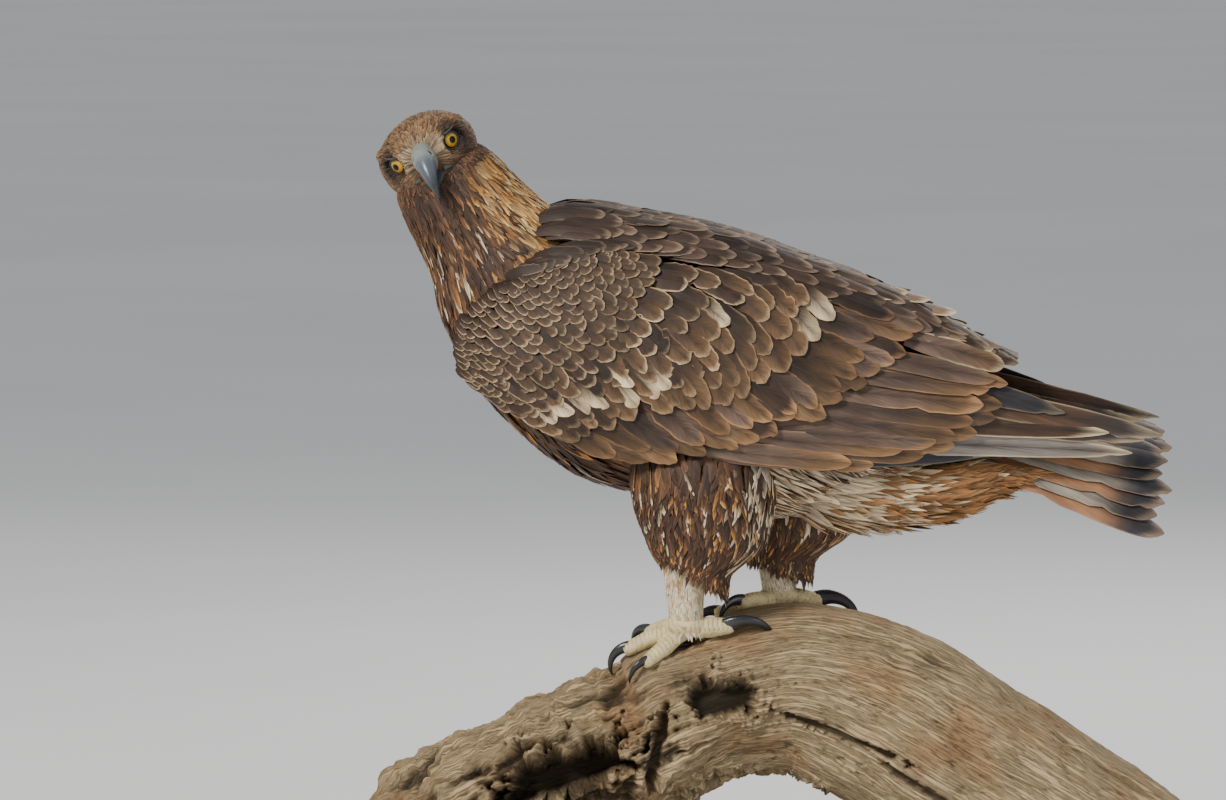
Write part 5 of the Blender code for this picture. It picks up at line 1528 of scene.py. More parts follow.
def row_feathers(coat, surface, roots, tips, count, width, lifts, shape, tint, tip_tint, rim, jitter=1.5,
                 **form):
    """One row of feathers, spread evenly along a curve of roots and a curve of tips."""
    t = (np.arange(count) + form.pop("shift", 0.5)) / count
    size = len(roots) - 1
    scale = np.array(form.pop("scale", (1, 1)))
    noise_by = coat.draw.normal(0, jitter, (count, 4)).clip(-2 * jitter, 2 * jitter)
    root = curve(roots, t * size) + noise_by[:, :2] * scale
    tip = curve(tips, t * size) + noise_by[:, 2:] * scale
    light = random_tone(coat, count, form.pop("uneven", 0.1))
    tint = np.broadcast_to(tint, (count, 3)) * light
    tip_tint = np.broadcast_to(tip_tint, (count, 3)) * light
    for pale, share in form.pop("streaks", ()):
        tip_tint = np.where((coat.draw.random(count) < share)[:, None], pale * light, tip_tint)
    strength = form.pop("strength", 0.8) * (0.55 + 0.6 * coat.draw.random(count))
    tilt = form.pop("tilt", 0.06) * coat.draw.normal(0, 1, count)
    coat.lay(surface, root, tip, width * (1 + 0.08 * coat.draw.normal(0, 1, count)), lifts, shape,
             graded(tint, tip_tint, shape, form.pop("start", 0.45), form.pop("end", 1.0)),
             rimmed(np.broadcast_to(rim, (count, 3)) * light, strength), roll=form.pop("roll", 0.0) + tilt,
             **form)


def make_mantle_coat():
    """Long dark feathers of the back and the scapulars that end over the wings."""
    coat = Coat(15)
    brown, purple = tone("mantle_brown"), tone("scapular")
    streaks = ((brown * 1.7, 0.25), (purple * 0.7, 0.25))
    for i in range(33):
        x = -190 + i * 12
        half = math.radians(min(26, 12 + 2 * i))
        angles = np.linspace(-half, half, 5)
        length = mix(34, 66, min(1, i / 9))
        low = mix(-16, -6, min(1, i / 4))
        row_feathers(coat, partial(back, 1), [(x, a) for a in angles],
                     [(x + length, a * 1.1) for a in angles],
                     10, mix(12, 19, min(1, i / 5)), (low, low + 5, low + 7.5), "covert", brown * 0.7, brown,
                     tone("pale_brown"), jitter=3, scale=(1, 0.012), shift=0.5 * (i % 2) + 0.25, uneven=0.25,
                     strength=0.5, camber=0.2, ragged=0.1, tilt=0.12, streaks=streaks)
    rows = ((38.5, -172, 100, 13, 70, 17), (34, -178, 120, 14, 82, 19), (29, -180, 140, 14, 90, 20),
            (24, -180, 150, 14, 92, 20), (19, -180, 160, 13, 92, 20))
    for toward in (-1, 1):
        for row, (degrees, start, end, number, length, width) in enumerate(rows):
            roots = np.array([(mix(start, end, s), math.radians(degrees - 2 * s)) for s in (0, 0.5, 1)])
            reach = [(length * mix(0.75, 1, s), math.radians(mix(1.5, 3, s))) for s in (0, 0.5, 1)]
            tips = roots + np.array(reach)
            row_feathers(coat, partial(back, toward), roots, tips, number, width,
                         (-7 + 0.6 * row, -0.5 + 0.5 * row, 2.5 + 0.5 * row), "covert", purple * 0.7,
                         purple * 1.15,
                         tone("pale_brown"), jitter=3, scale=(1, 0.012), uneven=0.28, strength=0.6,
                         camber=0.2,
                         ragged=0.09, tilt=0.12, shift=0.2 + 0.3 * (row % 3), streaks=streaks)
    for toward in (-1, 1):
        row_feathers(coat, partial(wing, toward), [(-204, 616), (-176, 634), (-140, 648)],
                     [(-170, 622), (-128, 634), (-84, 640)], 12, 14, (-4, 3, 5), "covert", purple * 0.8,
                     purple,
                     tone("pale_brown"), uneven=0.25, strength=0.5, camber=0.2, ragged=0.08, tilt=0.12)
    coat.make("coat_mantle", feather_material("Mantle feathers", barbs=40.0, streaks=1.4, rim_width=0.22,
                                              heart=0.35))


def make_wing_coat(name, toward):
    """Every row of one folded wing, from the scale-like lesser coverts to the long primaries."""
    coat = Coat(20 + toward)
    surface = partial(wing, toward)
    brown, edge = tone("wing_brown"), tone("cream")
    gold = blend_tones(tone("golden"), tone("pale_brown"), 0.45) * 0.75
    dark, tan = tone("dark_brown"), tone("covert_tan")
    far = 16 if toward > 0 else 0
    # The pale grey sheen colour is a painted sheen: light reflected on the slate primaries, painted into
    # their colour.
    slate, sheen = tone("primary_dark"), tone("primary_painted_sheen")
    primaries = (
        ((-44, 449), (243, 453), 22, -9, slate, slate, 0.2),
        ((20, 462), (300, 456), 20, -8.6, slate, sheen, 0.4),
        ((40, 472), (361, 452), 22, -8.0, sheen, sheen * 0.8, 0.9),
        ((70, 492), (340, 473), 22, -7, brown, brown, 1.0),
        ((80, 505), (372, 466), 24, -7.6, brown * 1.3, slate, 0.5),
        ((110, 546), (300, 492), 24, -6, slate, slate, 0.2),
        ((100, 530), (388, 470), 26, -7.8, brown * 1.4, slate, 0.4),
    )
    for root, tip, width, lift, tint, tip_tint, strength in primaries:
        coat.lay(surface, [(root[0], root[1] + far)], [(tip[0], tip[1] + far)], width,
                 (lift - 1, lift, lift + 1.2),
                 "pointed", graded(tint, tip_tint, "pointed", 0.6), rimmed(edge * 0.8, strength),
                 roll=-toward * 0.12, camber=0.12, ragged=0.03, splits=0.06)
    secondary_tips = ((248, 524), (249, 506), (238, 491), (222, 476), (198, 462), (160, 452), (104, 447))
    for i, lift in ((0, -3), (1, -0.5)):
        tips = np.array(secondary_tips) - (i * 14, -i * 5)
        row_feathers(coat, surface, sloped(tips, (14, 10, 8, 7, 6, 5, 3), 190 - 30 * i), tips, 7 + i, 21,
                     (-9, lift, lift + 2), "flight", tone("tertial") * 0.7, blend_tones(brown, tan, 0.5),
                     gold,
                     jitter=2, uneven=0.25, strength=0.8, roll=-toward * 0.14, camber=0.14, ragged=0.05,
                     splits=0.06,
                     streaks=((tone("tertial"), 0.3), (tan, 0.25)), start=0.5, end=0.9)
    tertial_tips = ((248, 530), (236, 548), (214, 566), (186, 584), (156, 598))
    row_feathers(coat, surface, sloped(tertial_tips, (17, 17, 15, 12, 9), 94), tertial_tips, 7, 24,
                 (-8, 0.5, 2.5),
                 "flight", tone("tertial"), tan, edge, jitter=2.5, uneven=0.2, strength=0.9, camber=0.14,
                 ragged=0.06)
    greater = (
        (((176, 572), (160, 552), (134, 530), (104, 505), (60, 487), (20, 470), (-30, 456), (-84, 452)),
         (22, 20, 18, 20, 24, 26, 24, 20), 104, 15, 27, (-8, 1, 3.5), tone("tertial") * 0.7, tan, gold, 0.9),
        (((150, 578), (126, 548), (104, 518), (62, 502), (26, 488), (-12, 474), (-60, 462), (-110, 460)),
         (26, 24, 26, 34, 38, 38, 32, 24), 84, 14, 26, (-7, 2, 4.5), brown * 0.55, tan * 0.8, gold, 0.9),
    )
    for tips, slopes, length, number, width, lifts, tint, tip_tint, rim, strength in greater:
        row_feathers(coat, surface, sloped(tips, slopes, length), tips, number, width, lifts, "covert", tint,
                     tip_tint,
                     rim, jitter=2.6, uneven=0.28, strength=strength, roll=-toward * 0.12, camber=0.2,
                     ragged=0.09,
                     splits=0.05, streaks=((dark * 1.3, 0.3), (tone("tertial"), 0.2)), start=0.35)
    for i in range(6):
        share = (i + 1) / 6
        tips = mix(np.array(MIDDLE_ROW, float), np.array(LAST_MEDIAN), share)
        slopes = mix(np.array(MIDDLE_SLOPES), np.array(LAST_SLOPES), share)
        patched = i in (2, 3, 4)
        white = ((edge * 1.05, 0.26), (dark * 1.6, 0.2)) if patched else ((edge, 0.05), (dark * 1.6, 0.28))
        row_feathers(coat, surface, sloped(tips, slopes, mix(40, 64, share)), tips, int(mix(15, 14, share)),
                     mix(20, 28, share), (-4, 2.2, mix(4.8, 5.6, share)), "covert", brown * 0.6,
                     blend_tones(brown, tan, mix(0.35, 0.8, share)),
                     blend_tones(edge, gold, mix(0.3, 0.75, share)),
                     jitter=mix(2.2, 3, share), shift=0.25 + 0.5 * (i % 2), uneven=0.25,
                     strength=mix(0.9, 0.6, share), camber=0.2, ragged=0.1, splits=0.06, streaks=white,
                     tilt=0.1,
                     start=0.4)
    lesser = 10
    for i in range(lesser):
        share = i / (lesser - 1)
        tips = mix(np.array(FIRST_LESSER, float), np.array(MIDDLE_ROW), share**1.15)
        slopes = mix(np.array(FIRST_SLOPES), np.array(MIDDLE_SLOPES), share)
        row_feathers(coat, surface, sloped(tips, slopes, mix(15, 38, share)), tips, int(mix(30, 17, share)),
                     mix(9, 18, share), (-4, 2, mix(4.2, 4.8, share)), "round" if share < 0.6 else "covert",
                     brown * 0.55, blend_tones(brown, tan, 0.25), blend_tones(edge, gold, 0.35) * 0.72,
                     jitter=mix(1.3, 2.4, share), shift=0.25 + 0.5 * (i % 2), uneven=0.2,
                     strength=mix(1.1, 0.7, share), camber=0.22, ragged=0.09, tilt=0.12)
    coat.make("coat_wing_" + name, feather_material("Wing feathers " + name, barbs=46.0, streaks=1.3,
                                                    patches=0.8,
                                                    rim_width=0.2, heart=0.55))


def make_tail_coat():
    """Twelve tail feathers in a low roof, with the coverts over their roots."""
    coat = Coat(16)
    for order, i in enumerate(sorted(range(12), key=lambda i: -abs(i - 5.5))):
        place = 2 * i / 11 - 1
        angle = TAIL_SPREAD * place
        length = TAIL_LENGTH + 8 * abs(place) - 5 * (order % 3)
        drop = -2 * (abs(i - 5.5) + 0.5 * (i >= 6))
        # One tail feather in four takes the pale grey tail colour, a painted sheen of light on the feathers.
        shade = (tone("tail_copper"), tone("tail_brown"), tone("tail_painted_sheen"),
                 tone("tail_copper") * 0.7)[order % 4]
        coat.lay(tail, [(46, 18 * place)], [(length * math.cos(angle), length * math.sin(angle))], 33,
                 (drop - 1, drop, drop), "flight", graded(shade, tone("primary_dark"), "flight", 0.7, 0.86),
                 rimmed(tone("pale_brown"), 0.5), camber=0.14, ragged=0.05, splits=0.12, roll=0.06 * place)
    for row, (start, end, number, half) in enumerate(((30, 100, 9, 26), (8, 76, 9, 24), (-16, 52, 9, 22),
                                                      (-36, 30, 8, 20))):
        roots = [(start, -half), (start + 6, 0), (start, half)]
        tips = [(end, -half * 1.35), (end + 14, 0), (end, half * 1.35)]
        row_feathers(coat, tail, roots, tips, number, 22, (row - 1, 3 + row, 5 + row), "covert",
                     tone("mantle_brown"),
                     tone("wing_brown"), tone("pale_brown"), jitter=2.5, strength=0.8, ragged=0.1,
                     uneven=0.25)
    coat.make("coat_tail", feather_material("Tail feathers", barbs=70.0, streaks=1.3, patches=1.2,
                                            rim_width=0.12))


def make_leg_coat(name, leg):
    """Feathers of one thigh and of the shank below it, which run down to the toes."""
    coat = Coat(30 + leg["toward"])
    high = leg["thigh"][0][1]
    number = 1900
    places = scatter(number, (0, -PI), (1, PI), 0.3)
    low = hem(leg, places[:, 1])
    places[:, 0] = mix(low + 14, high + 6, places[:, 0])
    size = 36 + 6 * coat.draw.normal(0, 1, number)
    end = np.maximum(places[:, 0] - size, low + 4 * coat.draw.normal(0, 1, number))
    tip = np.stack([end, places[:, 1] + 0.16 * coat.draw.normal(0, 1, number)], -1)
    light = random_tone(coat, number, 0.25)
    share = coat.draw.random(number)
    base = blend_tones(tone("dark_brown"), tone("warm_brown"), share) * light
    tips = blend_tones(tone("dark_brown") * 1.5, tone("warm_brown") * 1.3, ramp(share, 0.3, 0.95)) * light
    golden = (coat.draw.random(number) < 0.12)[:, None]
    tips = np.where(golden, tone("golden") * light, tips)
    pale = (coat.draw.random(number) < 0.04)[:, None]
    tips = np.where(pale, tone("cream") * light, tips)
    behind = ramp(-np.cos(places[:, 1]), 0.35, 0.8) * ramp(places[:, 0], 385, 425)
    behind = behind * (coat.draw.random(number) < 0.3)
    base = blend_tones(base, tone("down_grey") * light, behind)
    tips = blend_tones(tips, tone("cream") * light, behind)
    coat.lay(partial(thigh, leg), places, tip, mix(7, 11, coat.draw.random(number)), (-5, 0.5, 3.5), "hackle",
             graded(base, tips, "hackle"), rimmed(np.minimum(tips * 1.8, 0.7),
                                                  0.5 * coat.draw.random(number) + 0.2),
             roll=0.2 * coat.draw.normal(0, 1, number), camber=0.3, thick=0.7, ragged=0.18)
    coat.make("coat_thigh_" + name, feather_material("Thigh feathers " + name, barbs=16.0, streaks=1.3,
                                                     heart=0.4))
    coat = Coat(40 + leg["toward"])
    number = 1700
    places = scatter(number, (1.25, -PI), (0.0, PI), 0.6)
    size = 0.21 + 0.03 * coat.draw.normal(0, 1, number)
    tip = places + np.stack([-size, 0.2 * coat.draw.normal(0, 1, number)], -1)
    light = random_tone(coat, number, 0.12)
    share = np.clip(ramp(coat.draw.random(number), 0.35, 1) + 0.6 * ramp(places[:, 0], 0.75, 1.15), 0, 1)
    base = blend_tones(tone("shank_pale"), tone("shank"), share) * light
    coat.lay(partial(tarsus, leg), places, tip, 4.2, (-1.5, 0.5, 1.1), "tuft",
             graded(base * 0.92, base, "tuft"),
             rimmed(base * 1.03, 0.4), roll=0.12 * coat.draw.normal(0, 1, number), camber=0.3, thick=0.5,
             ragged=0.16)
    coat.make("coat_shank_" + name, feather_material("Shank feathers " + name, barbs=10.0, streaks=0.8,
                                                     heart=0.1))


def claw_place(start, ahead, normal, radius, sweep):
    """Places round a curved tapering claw."""
    rise = math.radians(34)
    sweep = math.radians(sweep)
    side = np.cross(ahead, normal)

    def place(u, v):
        s, close = capped(v, 0.03)
        angle = rise - sweep * s
        forward = radius * (math.sin(rise) - np.sin(angle))
        lift = radius * (np.cos(angle) - math.cos(rise))
        tangent = np.cos(angle)[:, None] * ahead + np.sin(angle)[:, None] * normal
        over = np.cross(side, tangent)
        girth = 0.3 * radius * (1 - s) ** 0.8 + 0.4
        turn = u * 2 * PI
        out = side * (np.sin(turn) * girth * 0.72)[:, None] + over * (np.cos(turn) * girth)[:, None]
        return start + ahead * forward[:, None] + normal * lift[:, None] + out * close[:, None]
    return place


def make_feet(name, leg):
    """Scaled toes and glossy curved claws of one foot."""
    work = bmesh.new()
    claws = bmesh.new()
    lines = []
    claw_lines = []
    for _, degrees, length, thick, radius, sweep in TOES:
        path, normals = toe_path(leg, degrees, length, thick)
        rows = [(*p, thick * s, thick * s * 0.94) for p, s in zip(path, TOE_SWELL)]
        end = path[-1] + (path[-1] - path[-2]).normalized() * 3
        rows.append((*end, thick * 0.5, thick * 0.5))
        lines.append((np.array(rows), np.array([tuple(n) for n in normals])))

        warp(work, 28, 60, closed_rows(rows, 0.08))
        ahead = path[-1] - path[-2]
        normal = normals[-1]
        ahead = (ahead - normal * ahead.dot(normal)).normalized()
        start = path[-1] - ahead * 3 + normal
        warp(claws, 28, 60, claw_place(np.array(start), np.array(ahead), np.array(normal), radius, sweep))
        claw_lines.append((np.array(start), radius))
    hub = np.array(lines[0][0][0][:3]) + (0, 0, 4)

    def pad(u, v):
        polar, turn = v * PI, u * 2 * PI
        out = np.stack([np.sin(polar) * np.cos(turn) * 19, np.sin(polar) * np.sin(turn) * 15,
                        np.cos(polar) * 11], -1)
        return hub + out

    warp(work, 32, 24, pad)
    foot = piece_from(work, "toes_" + name, scute_material(), ["foot_" + name], (
        ("REMESH", {"mode": "VOXEL", "voxel_size": TOE_VOXEL, "use_smooth_shade": True}),
        ("SMOOTH", {"factor": 0.5, "iterations": 3}),
    ))
    points = points_of(foot)
    normals = normals_of(foot)
    best = np.full(len(points), 1e9)
    run = np.zeros(len(points))
    over = np.zeros(len(points))
    for rows, ups in lines:
        fine = np.linspace(0, len(rows) - 1, 120)
        table = curve(rows, fine)[:, :3]
        reach = np.concatenate([[0], np.cumsum(np.linalg.norm(np.diff(table, axis=0), axis=1))])
        gap = np.linalg.norm(points[:, None] - table[None], axis=-1)
        nearest = np.argmin(gap, axis=1)
        distance = gap[np.arange(len(points)), nearest]
        up = ups[np.minimum((fine[nearest]).astype(int), len(ups) - 1)]
        closer = distance < best
        best = np.where(closer, distance, best)
        run = np.where(closer, reach[nearest], run)
        over = np.where(closer, (unit(points - table[nearest]) * up).sum(-1), over)
    wave = np.abs((run / 4.2 + 0.12 * np.sin(over * 9)) % 1 - 0.5) * 2
    groove = ramp(wave, 0.72, 1.0) * ramp(over, 0.15, 0.5)
    grain = rough(points, 0.55, 2)
    side_cells = (1 - ramp(over, 0.1, 0.45)) * np.clip(grain, -1, 1)
    away = ramp(np.linalg.norm(points - hub, axis=-1), 10, 20)
    move_points(foot, points + normals * ((-0.75 * groove + 0.45 * side_cells) * away)[:, None])
    # Painted shade: the grooves between scutes and the dips between side cells are marked for darkening.
    mark(foot, "crease_shade", np.clip(groove + 0.6 * ramp(-side_cells, 0.1, 0.5), 0, 1))
    horn = horn_material("Claw horn " + name, ((0.0, (0.05, 0.048, 0.05)), (0.3, (0.02, 0.02, 0.022)),
                                                (1.0, (0.012, 0.012, 0.013))), 0.22)
    nodes = ["claw_%s_%s" % (name, toe) for toe in ("inner", "middle", "outer", "rear")]
    claw = piece_from(claws, "claws_" + name, horn, nodes)
    points = points_of(claw)
    reach = np.min([np.linalg.norm(points - start, axis=-1) / (radius * 1.9) for start, radius in claw_lines],
                   axis=0)
    mark(claw, "reach", np.clip(reach, 0, 1))
    mark(claw, "dark", np.zeros(len(points)))


# Hollows of the limb: centre, long axis, radii along it and across it, and depth
HOLLOWS = (
    ((-150, -70, 170), (0.93, 0, 0.3), (70, 29), 46), ((-8, -74, 238), (0.98, 0, -0.2), (34, 20), 22),
    ((-66, -62, 190), (0.15, 0, 0.98), (48, 6), 18), ((-232, -62, 118), (0.8, 0, 0.6), (46, 12), 18),
    ((10, -40, 152), (1, 0, 0.05), (52, 13), 20), ((92, -86, 205), (0.93, 0, -0.36), (60, 3.6), 7),
    ((-190, -60, 185), (0.8, 0, 0.6), (34, 6), 9), ((180, -84, 150), (0.85, 0, -0.53), (70, 3.2), 6),
    ((-120, 66, 170), (0.9, 0, 0.42), (44, 14), 18), ((60, 92, 220), (0.97, 0, -0.2), (70, 5), 9),
    ((190, 92, 160), (0.87, 0, -0.5), (60, 8), 12),
)


def make_limb():
    """The weathered limb, with long ridges, rotten hollows and checks."""
    work = bmesh.new()
    last = len(LIMB) - 1

    def place(u, v):
        along, close = capped(v, 0.02)
        t = along * last
        turn = u * 2 * PI
        point = limb(t, turn, -0.4)
        centre = curve(LIMB, t)[..., :3]
        return centre + (point - centre) * close[:, None]

    warp(work, *LIMB_GRID, place)
    piece = piece_from(work, "limb", wood_material(), ["perch"])
    points = points_of(piece)
    normals = normals_of(piece)
    fine = np.linspace(0, last, 160)
    table = curve(LIMB, fine)[:, :3]
    reach = np.concatenate([[0], np.cumsum(np.linalg.norm(np.diff(table, axis=0), axis=1))])
    gap = np.linalg.norm(points[:, None, [0, 2]] - table[None, :, [0, 2]], axis=-1)
    nearest = np.argmin(gap, axis=1)
    heading = unit(np.gradient(table, axis=0))[nearest]
    offset = points - table[nearest]
    ahead = (offset * heading).sum(-1)
    run = reach[nearest] + ahead
    away = unit(offset - heading * ahead[:, None])
    turn = np.arctan2(away[:, 1], away[:, 2])
    rotten = 1 - ramp(points[:, 0], -90, 30)
    bands = np.stack([run * 0.006, np.cos(turn) * 2.4, np.sin(turn) * 2.4], -1)
    ridges = rough(bands, 1.0, 3, 3.7)
    fibres = rough(bands * (2.2, 3.4, 3.4), 1.0, 3, 9.1)
    lumps = rough(points, 0.021, 4, 1.3)
    checks = 1 - ramp(np.abs(rough(bands * (1.1, 1.7, 1.7), 1.0, 2, 21.0)), 0.0, 0.05)
    height = ridges * mix(5, 13, rotten) + fibres * mix(2, 5, rotten) + lumps * mix(3, 17, rotten)
    height = height - checks * mix(2.5, 5, rotten)
    feet = np.full(len(points), 1e9)
    for leg in LEGS.values():
        x, y = leg["foot"]
        feet = np.minimum(feet, np.linalg.norm((points[:, :2] - (x, y)),
                                               axis=-1) + 200 * (points[:, 2] < 220))
    calm = ramp(feet, 45, 95)
    height = np.where(height > 0, height * calm * 0.5, height * mix(0.45, 1, calm))
    # Painted shade: crevices, checks and the insides of the hollows are marked darker.
    shade = np.maximum(0.55 * checks * ramp(-height, 0.5, 4), 0.85 * ramp(-height, 1.5, 9))
    for centre, axis, (long, short), depth in HOLLOWS:
        axis = np.array(axis) / np.linalg.norm(axis)
        up = np.cross((0, 1.0, 0), axis)
        offset = points - np.array(centre)
        wobble = 1 + 0.5 * rough(points, 0.055, 4, centre[0])
        flat = np.sqrt((offset @ axis / long) ** 2 + (offset @ up / short) ** 2) * wobble
        facing = (np.sign(centre[1]) * points[:, 1]) > 10
        inside = (1 - ramp(flat, 0.72, 1.0)) * facing
        lip = 4.5 * np.exp(-((flat - 1.15) / 0.14) ** 2) * facing * (short > 8)
        height = mix(height, -depth, inside) + lip
        # Painted shade inside each hollow, nearly black in the wide ones.
        shade = np.maximum(shade, inside**0.7 * (0.95 if short > 8 else 0.8))
    ends = np.minimum(ramp(run, 2, 30), ramp(reach[-1] - run, 2, 30))
    move_points(piece, points + normals * (height * ends)[:, None])
    mark(piece, "shade", np.clip(shade, 0, 1))
    mark(piece, "run", run / 100)
    mark(piece, "turn", np.abs(turn))


def dress_stand():
    """Finishes on the stand's base and rods, whose shapes stay those of the frame."""
    metal = metal_material()
    for node in ("stand_base", "stand_rod_front", "stand_rod_back"):
        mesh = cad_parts[node].data
        mesh.materials.clear()
        mesh.materials.append(metal)


def make_stage():
    """Pale floor, soft lights and the camera at the photograph's angle."""
    scene = bpy.context.scene
    work = bmesh.new()
    bmesh.ops.create_circle(work, cap_ends=True, segments=96, radius=FLOOR_RADIUS)
    mesh = bpy.data.meshes.new("floor")
    work.to_mesh(mesh)
    work.free()
    floor = bpy.data.objects.new("floor", mesh)
    floor.location.z = CAD_BOX[0][2]
    material, tree, shader = plain_material("Floor", 0.9, 0.2)
    cloud = tree.noise(tree.add("ShaderNodeTexCoord").outputs["Object"], 0.6, 3.0)
    shade = tree.step(cloud, 0.3, 0.7, 0.78, 0.82)
    tree.tree.links.new(tree.vector(shade, shade, shade), shader.inputs["Base Color"])
    mesh.materials.append(material)
    scene.collection.objects.link(floor)
    world = bpy.data.worlds.new("Studio")
    world.use_nodes = True
    world.node_tree.nodes["Background"].inputs[0].default_value = (0.9, 0.92, 0.95, 1)
    world.node_tree.nodes["Background"].inputs[1].default_value = 0.5
    scene.world = world
    sizes = scene.eagle_sizes
    lights = (("key", (-2.6, -3.2, 3.4), 1.3, 290 * sizes.light, (1.0, 0.96, 0.9)),
              ("fill", (3.2, -2.6, 1.4), 2.4, 38 * sizes.light, (0.9, 0.95, 1.0)),
              ("rim", (1.5, 3.4, 2.8), 2.0, 70 * sizes.light, (1.0, 0.98, 0.95)))
    target = Vector((-0.05, 0, 0.5))
    for title, place, size, power, shade in lights:
        data = bpy.data.lights.new(title, "AREA")
        data.shape = "DISK"
        data.size = size
        data.energy = power
        data.color = shade
        lamp = bpy.data.objects.new(title, data)
        lamp.location = place
        lamp.rotation_euler = (target - Vector(place)).to_track_quat("-Z", "Y").to_euler()
        scene.collection.objects.link(lamp)
    data = bpy.data.cameras.new("camera")
    data.sensor_width = SENSOR_WIDTH
    data.lens = SENSOR_WIDTH * CAMERA_DISTANCE / VIEW_WIDTH
    data.clip_end = 200
    camera = bpy.data.objects.new("camera", data)
    target = Vector((-0.105, 0, 0.52))
    camera.location = target + Vector((0, -math.cos(VIEW_RISE), math.sin(VIEW_RISE))) * CAMERA_DISTANCE
    camera.rotation_euler = (target - camera.location).to_track_quat("-Z", "Y").to_euler()
    scene.collection.objects.link(camera)
    scene.camera = camera


def colour(name, description, default):
    """A colour that the user can change."""
    return bpy.props.FloatVectorProperty(name=name, description=description, subtype="COLOR", size=3, min=0,
                                         max=1,
                                         default=default)


class EagleColours(bpy.types.PropertyGroup):
    """Colours of the feathers, bare parts, wood and metal."""

    dark_brown: colour("Dark brown", "Shaded roots and streaks", (0.032, 0.016, 0.009))
    warm_brown: colour("Warm brown", "Breast and thighs", (0.115, 0.052, 0.022))
    wing_brown: colour("Wing brown", "Wing coverts", (0.062, 0.032, 0.016))
    covert_tan: colour("Covert tan", "Worn tips of the larger coverts", (0.21, 0.115, 0.05))
    mantle_brown: colour("Mantle brown", "Feathers of the back", (0.085, 0.05, 0.032))
    scapular: colour("Scapular", "Long shoulder feathers", (0.05, 0.028, 0.018))
    pale_brown: colour("Pale brown", "Worn edges of the back's feathers", (0.36, 0.25, 0.16))
    golden: colour("Golden", "Nape and worn edges", (0.5, 0.22, 0.055))
    straw: colour("Straw", "Pale hackle tips", (0.66, 0.42, 0.17))
    cream: colour("Cream", "Rims of the coverts", (0.74, 0.58, 0.36))
    down_grey: colour("Down", "Fluff of the vent", (0.42, 0.33, 0.24))
    rust: colour("Rust", "Coverts under the tail", (0.2, 0.092, 0.03))
    crown_brown: colour("Crown", "Top of the head", (0.2, 0.105, 0.05))
    # Painted sunlight: the pale colour of the bird's right cheek, lit by the sun.
    cheek: colour("Cheek", "Cheek in painted sunlight", (0.3, 0.165, 0.08))
    shank: colour("Shank", "Tawny feathers of the shanks", (0.5, 0.3, 0.12))
    shank_pale: colour("Pale shank", "Pale feathers of the shanks", (0.76, 0.68, 0.5))
    tertial: colour("Tertials", "Innermost wing feathers", (0.16, 0.1, 0.07))
    # Painted sheen: a pale grey that stands for light reflected on the slate primaries.
    primary_painted_sheen: colour("Primary sheen", "Painted sheen on the slate long wing feathers", (0.26, 0.22, 0.19))
    primary_dark: colour("Primary tips", "Dark long wing feathers", (0.03, 0.027, 0.03))
    tail_brown: colour("Tail brown", "Tail feathers", (0.11, 0.065, 0.04))
    tail_copper: colour("Tail copper", "Copper tail feathers", (0.34, 0.17, 0.085))
    # Painted sheen: a pale grey that stands for light reflected on the tail feathers.
    tail_painted_sheen: colour("Tail sheen", "Painted sheen on the tail feathers", (0.3, 0.25, 0.2))
    cere: colour("Cere", "Soft skin at the bill's root", (0.2, 0.225, 0.2))
    bill_grey: colour("Bill", "Blue-grey horn", (0.075, 0.09, 0.11))
    iris: colour("Iris", "Upper part of the iris", (0.46, 0.3, 0.03))
    iris_low: colour("Iris shade", "Tint of the iris's lower part", (1.0, 0.72, 0.48))
    lid: colour("Eyelids", "Lids round the eyes", (0.018, 0.015, 0.014))
    # Painted shade: the brow ridges are coloured as their shadowed edge.
    brow: colour("Brows", "Brow ridges in painted shade", (0.045, 0.042, 0.042))
    # Painted shade: the gape is coloured as the shaded line beside the bill.
    gape: colour("Gape", "Skin beside the bill", (0.05, 0.052, 0.048))
    toe_skin: colour("Toes", "Scutes of the toes", (0.66, 0.54, 0.28))
    wood_grey: colour("Wood grey", "Weathered wood", (0.42, 0.31, 0.175))
    wood_warm: colour("Wood tan", "Warmer streaks of the wood", (0.3, 0.17, 0.075))
    stand_metal: colour("Stand", "Satin metal of the stand", (0.06, 0.06, 0.065))


class EagleSizes(bpy.types.PropertyGroup):
    """Sizes and amounts of the scene."""

    light: bpy.props.FloatProperty(name="Light", description="Strength of the studio lamps", default=1.0,
                                   min=0,
                                   subtype="FACTOR")


class EAGLE_OT_skin(bpy.types.Operator):
    """Makes the skin under the feathers"""

    bl_idname = "eagle.skin"
    bl_label = "Skin"

    def execute(self, context):
        make_skin()
        return {"FINISHED"}


class EAGLE_OT_bill(bpy.types.Operator):
    """Makes both halves of the bill"""

    bl_idname = "eagle.bill"
    bl_label = "Bill"

    def execute(self, context):
        make_bill()
        return {"FINISHED"}


class EAGLE_OT_face(bpy.types.Operator):
    """Makes the eyes, lids, brows and gape"""

    bl_idname = "eagle.face"
    bl_label = "Eyes and face"

    def execute(self, context):
        make_eyes()
        make_face()
        return {"FINISHED"}


class EAGLE_OT_head_coat(bpy.types.Operator):
    """Makes the small feathers of the head"""

    bl_idname = "eagle.head_coat"
    bl_label = "Head feathers"

    def execute(self, context):
        make_head_coat()
        return {"FINISHED"}


class EAGLE_OT_body_coat(bpy.types.Operator):
    """Makes the hackles, breast, belly, vent and mantle feathers"""

    bl_idname = "eagle.body_coat"
    bl_label = "Body feathers"

    def execute(self, context):
        make_neck_coat()
        make_breast_coat()
        make_vent_coat()
        make_mantle_coat()
        return {"FINISHED"}


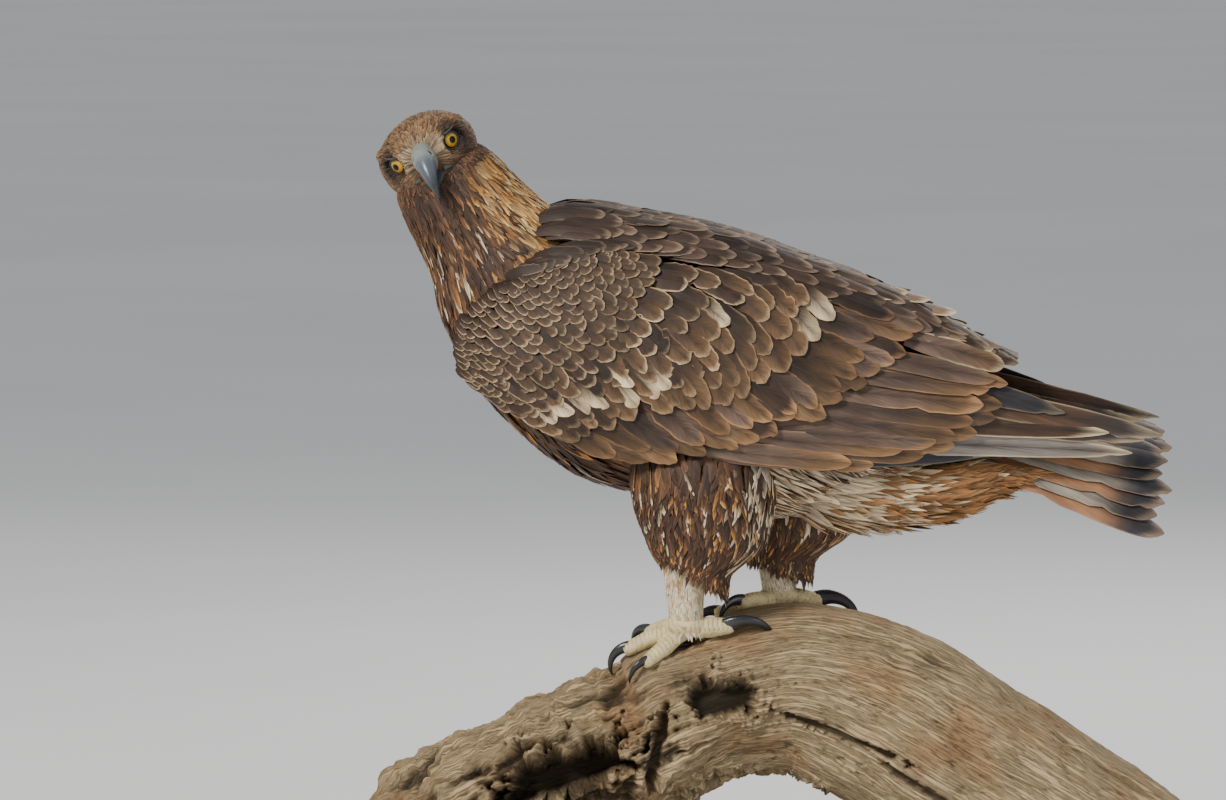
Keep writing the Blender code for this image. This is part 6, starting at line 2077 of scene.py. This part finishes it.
class EAGLE_OT_wings(bpy.types.Operator):
    """Makes the feathers of both wings"""

    bl_idname = "eagle.wings"
    bl_label = "Wings"

    def execute(self, context):
        for name, leg in LEGS.items():
            make_wing_coat(name, leg["toward"])
        return {"FINISHED"}


class EAGLE_OT_tail(bpy.types.Operator):
    """Makes the tail feathers and their coverts"""

    bl_idname = "eagle.tail"
    bl_label = "Tail"

    def execute(self, context):
        make_tail_coat()
        return {"FINISHED"}


class EAGLE_OT_legs(bpy.types.Operator):
    """Makes the thigh and shank feathers, toes and claws"""

    bl_idname = "eagle.legs"
    bl_label = "Legs and feet"

    def execute(self, context):
        for name, leg in LEGS.items():
            make_leg_coat(name, leg)
            make_feet(name, leg)
        return {"FINISHED"}


class EAGLE_OT_limb(bpy.types.Operator):
    """Makes the weathered limb"""

    bl_idname = "eagle.limb"
    bl_label = "Limb"

    def execute(self, context):
        make_limb()
        return {"FINISHED"}


class EAGLE_OT_stand(bpy.types.Operator):
    """Finishes the display stand"""

    bl_idname = "eagle.stand"
    bl_label = "Stand"

    def execute(self, context):
        dress_stand()
        return {"FINISHED"}


class EAGLE_OT_stage(bpy.types.Operator):
    """Sets the floor, lights and camera"""

    bl_idname = "eagle.stage"
    bl_label = "Stage"

    def execute(self, context):
        make_stage()
        return {"FINISHED"}


OPERATORS = (EAGLE_OT_stage, EAGLE_OT_skin, EAGLE_OT_bill, EAGLE_OT_face, EAGLE_OT_head_coat,
             EAGLE_OT_body_coat,
             EAGLE_OT_wings, EAGLE_OT_tail, EAGLE_OT_legs, EAGLE_OT_limb, EAGLE_OT_stand)


class EAGLE_PT_panel(bpy.types.Panel):
    """Lists the pieces of the eagle and the values a user may change"""

    bl_idname = "EAGLE_PT_panel"
    bl_label = "Golden eagle"
    bl_space_type = "VIEW_3D"
    bl_region_type = "UI"
    bl_category = "Eagle"

    def draw(self, context):
        for operator in OPERATORS:
            self.layout.operator(operator.bl_idname)
        for values in (context.scene.eagle_sizes, context.scene.eagle_colours):
            for name in values.bl_rna.properties.keys()[2:]:
                self.layout.prop(values, name)


CLASSES = (EagleColours, EagleSizes, *OPERATORS, EAGLE_PT_panel)


def register():
    for kind in CLASSES:
        bpy.utils.register_class(kind)
    bpy.types.Scene.eagle_colours = bpy.props.PointerProperty(type=EagleColours)
    bpy.types.Scene.eagle_sizes = bpy.props.PointerProperty(type=EagleSizes)


def unregister():
    del bpy.types.Scene.eagle_colours
    del bpy.types.Scene.eagle_sizes
    for kind in reversed(CLASSES):
        bpy.utils.unregister_class(kind)


def main():
    register()
    for operator in OPERATORS:
        family, name = operator.bl_idname.split(".")
        getattr(getattr(bpy.ops, family), name)()


if __name__ == "__main__":
    main()
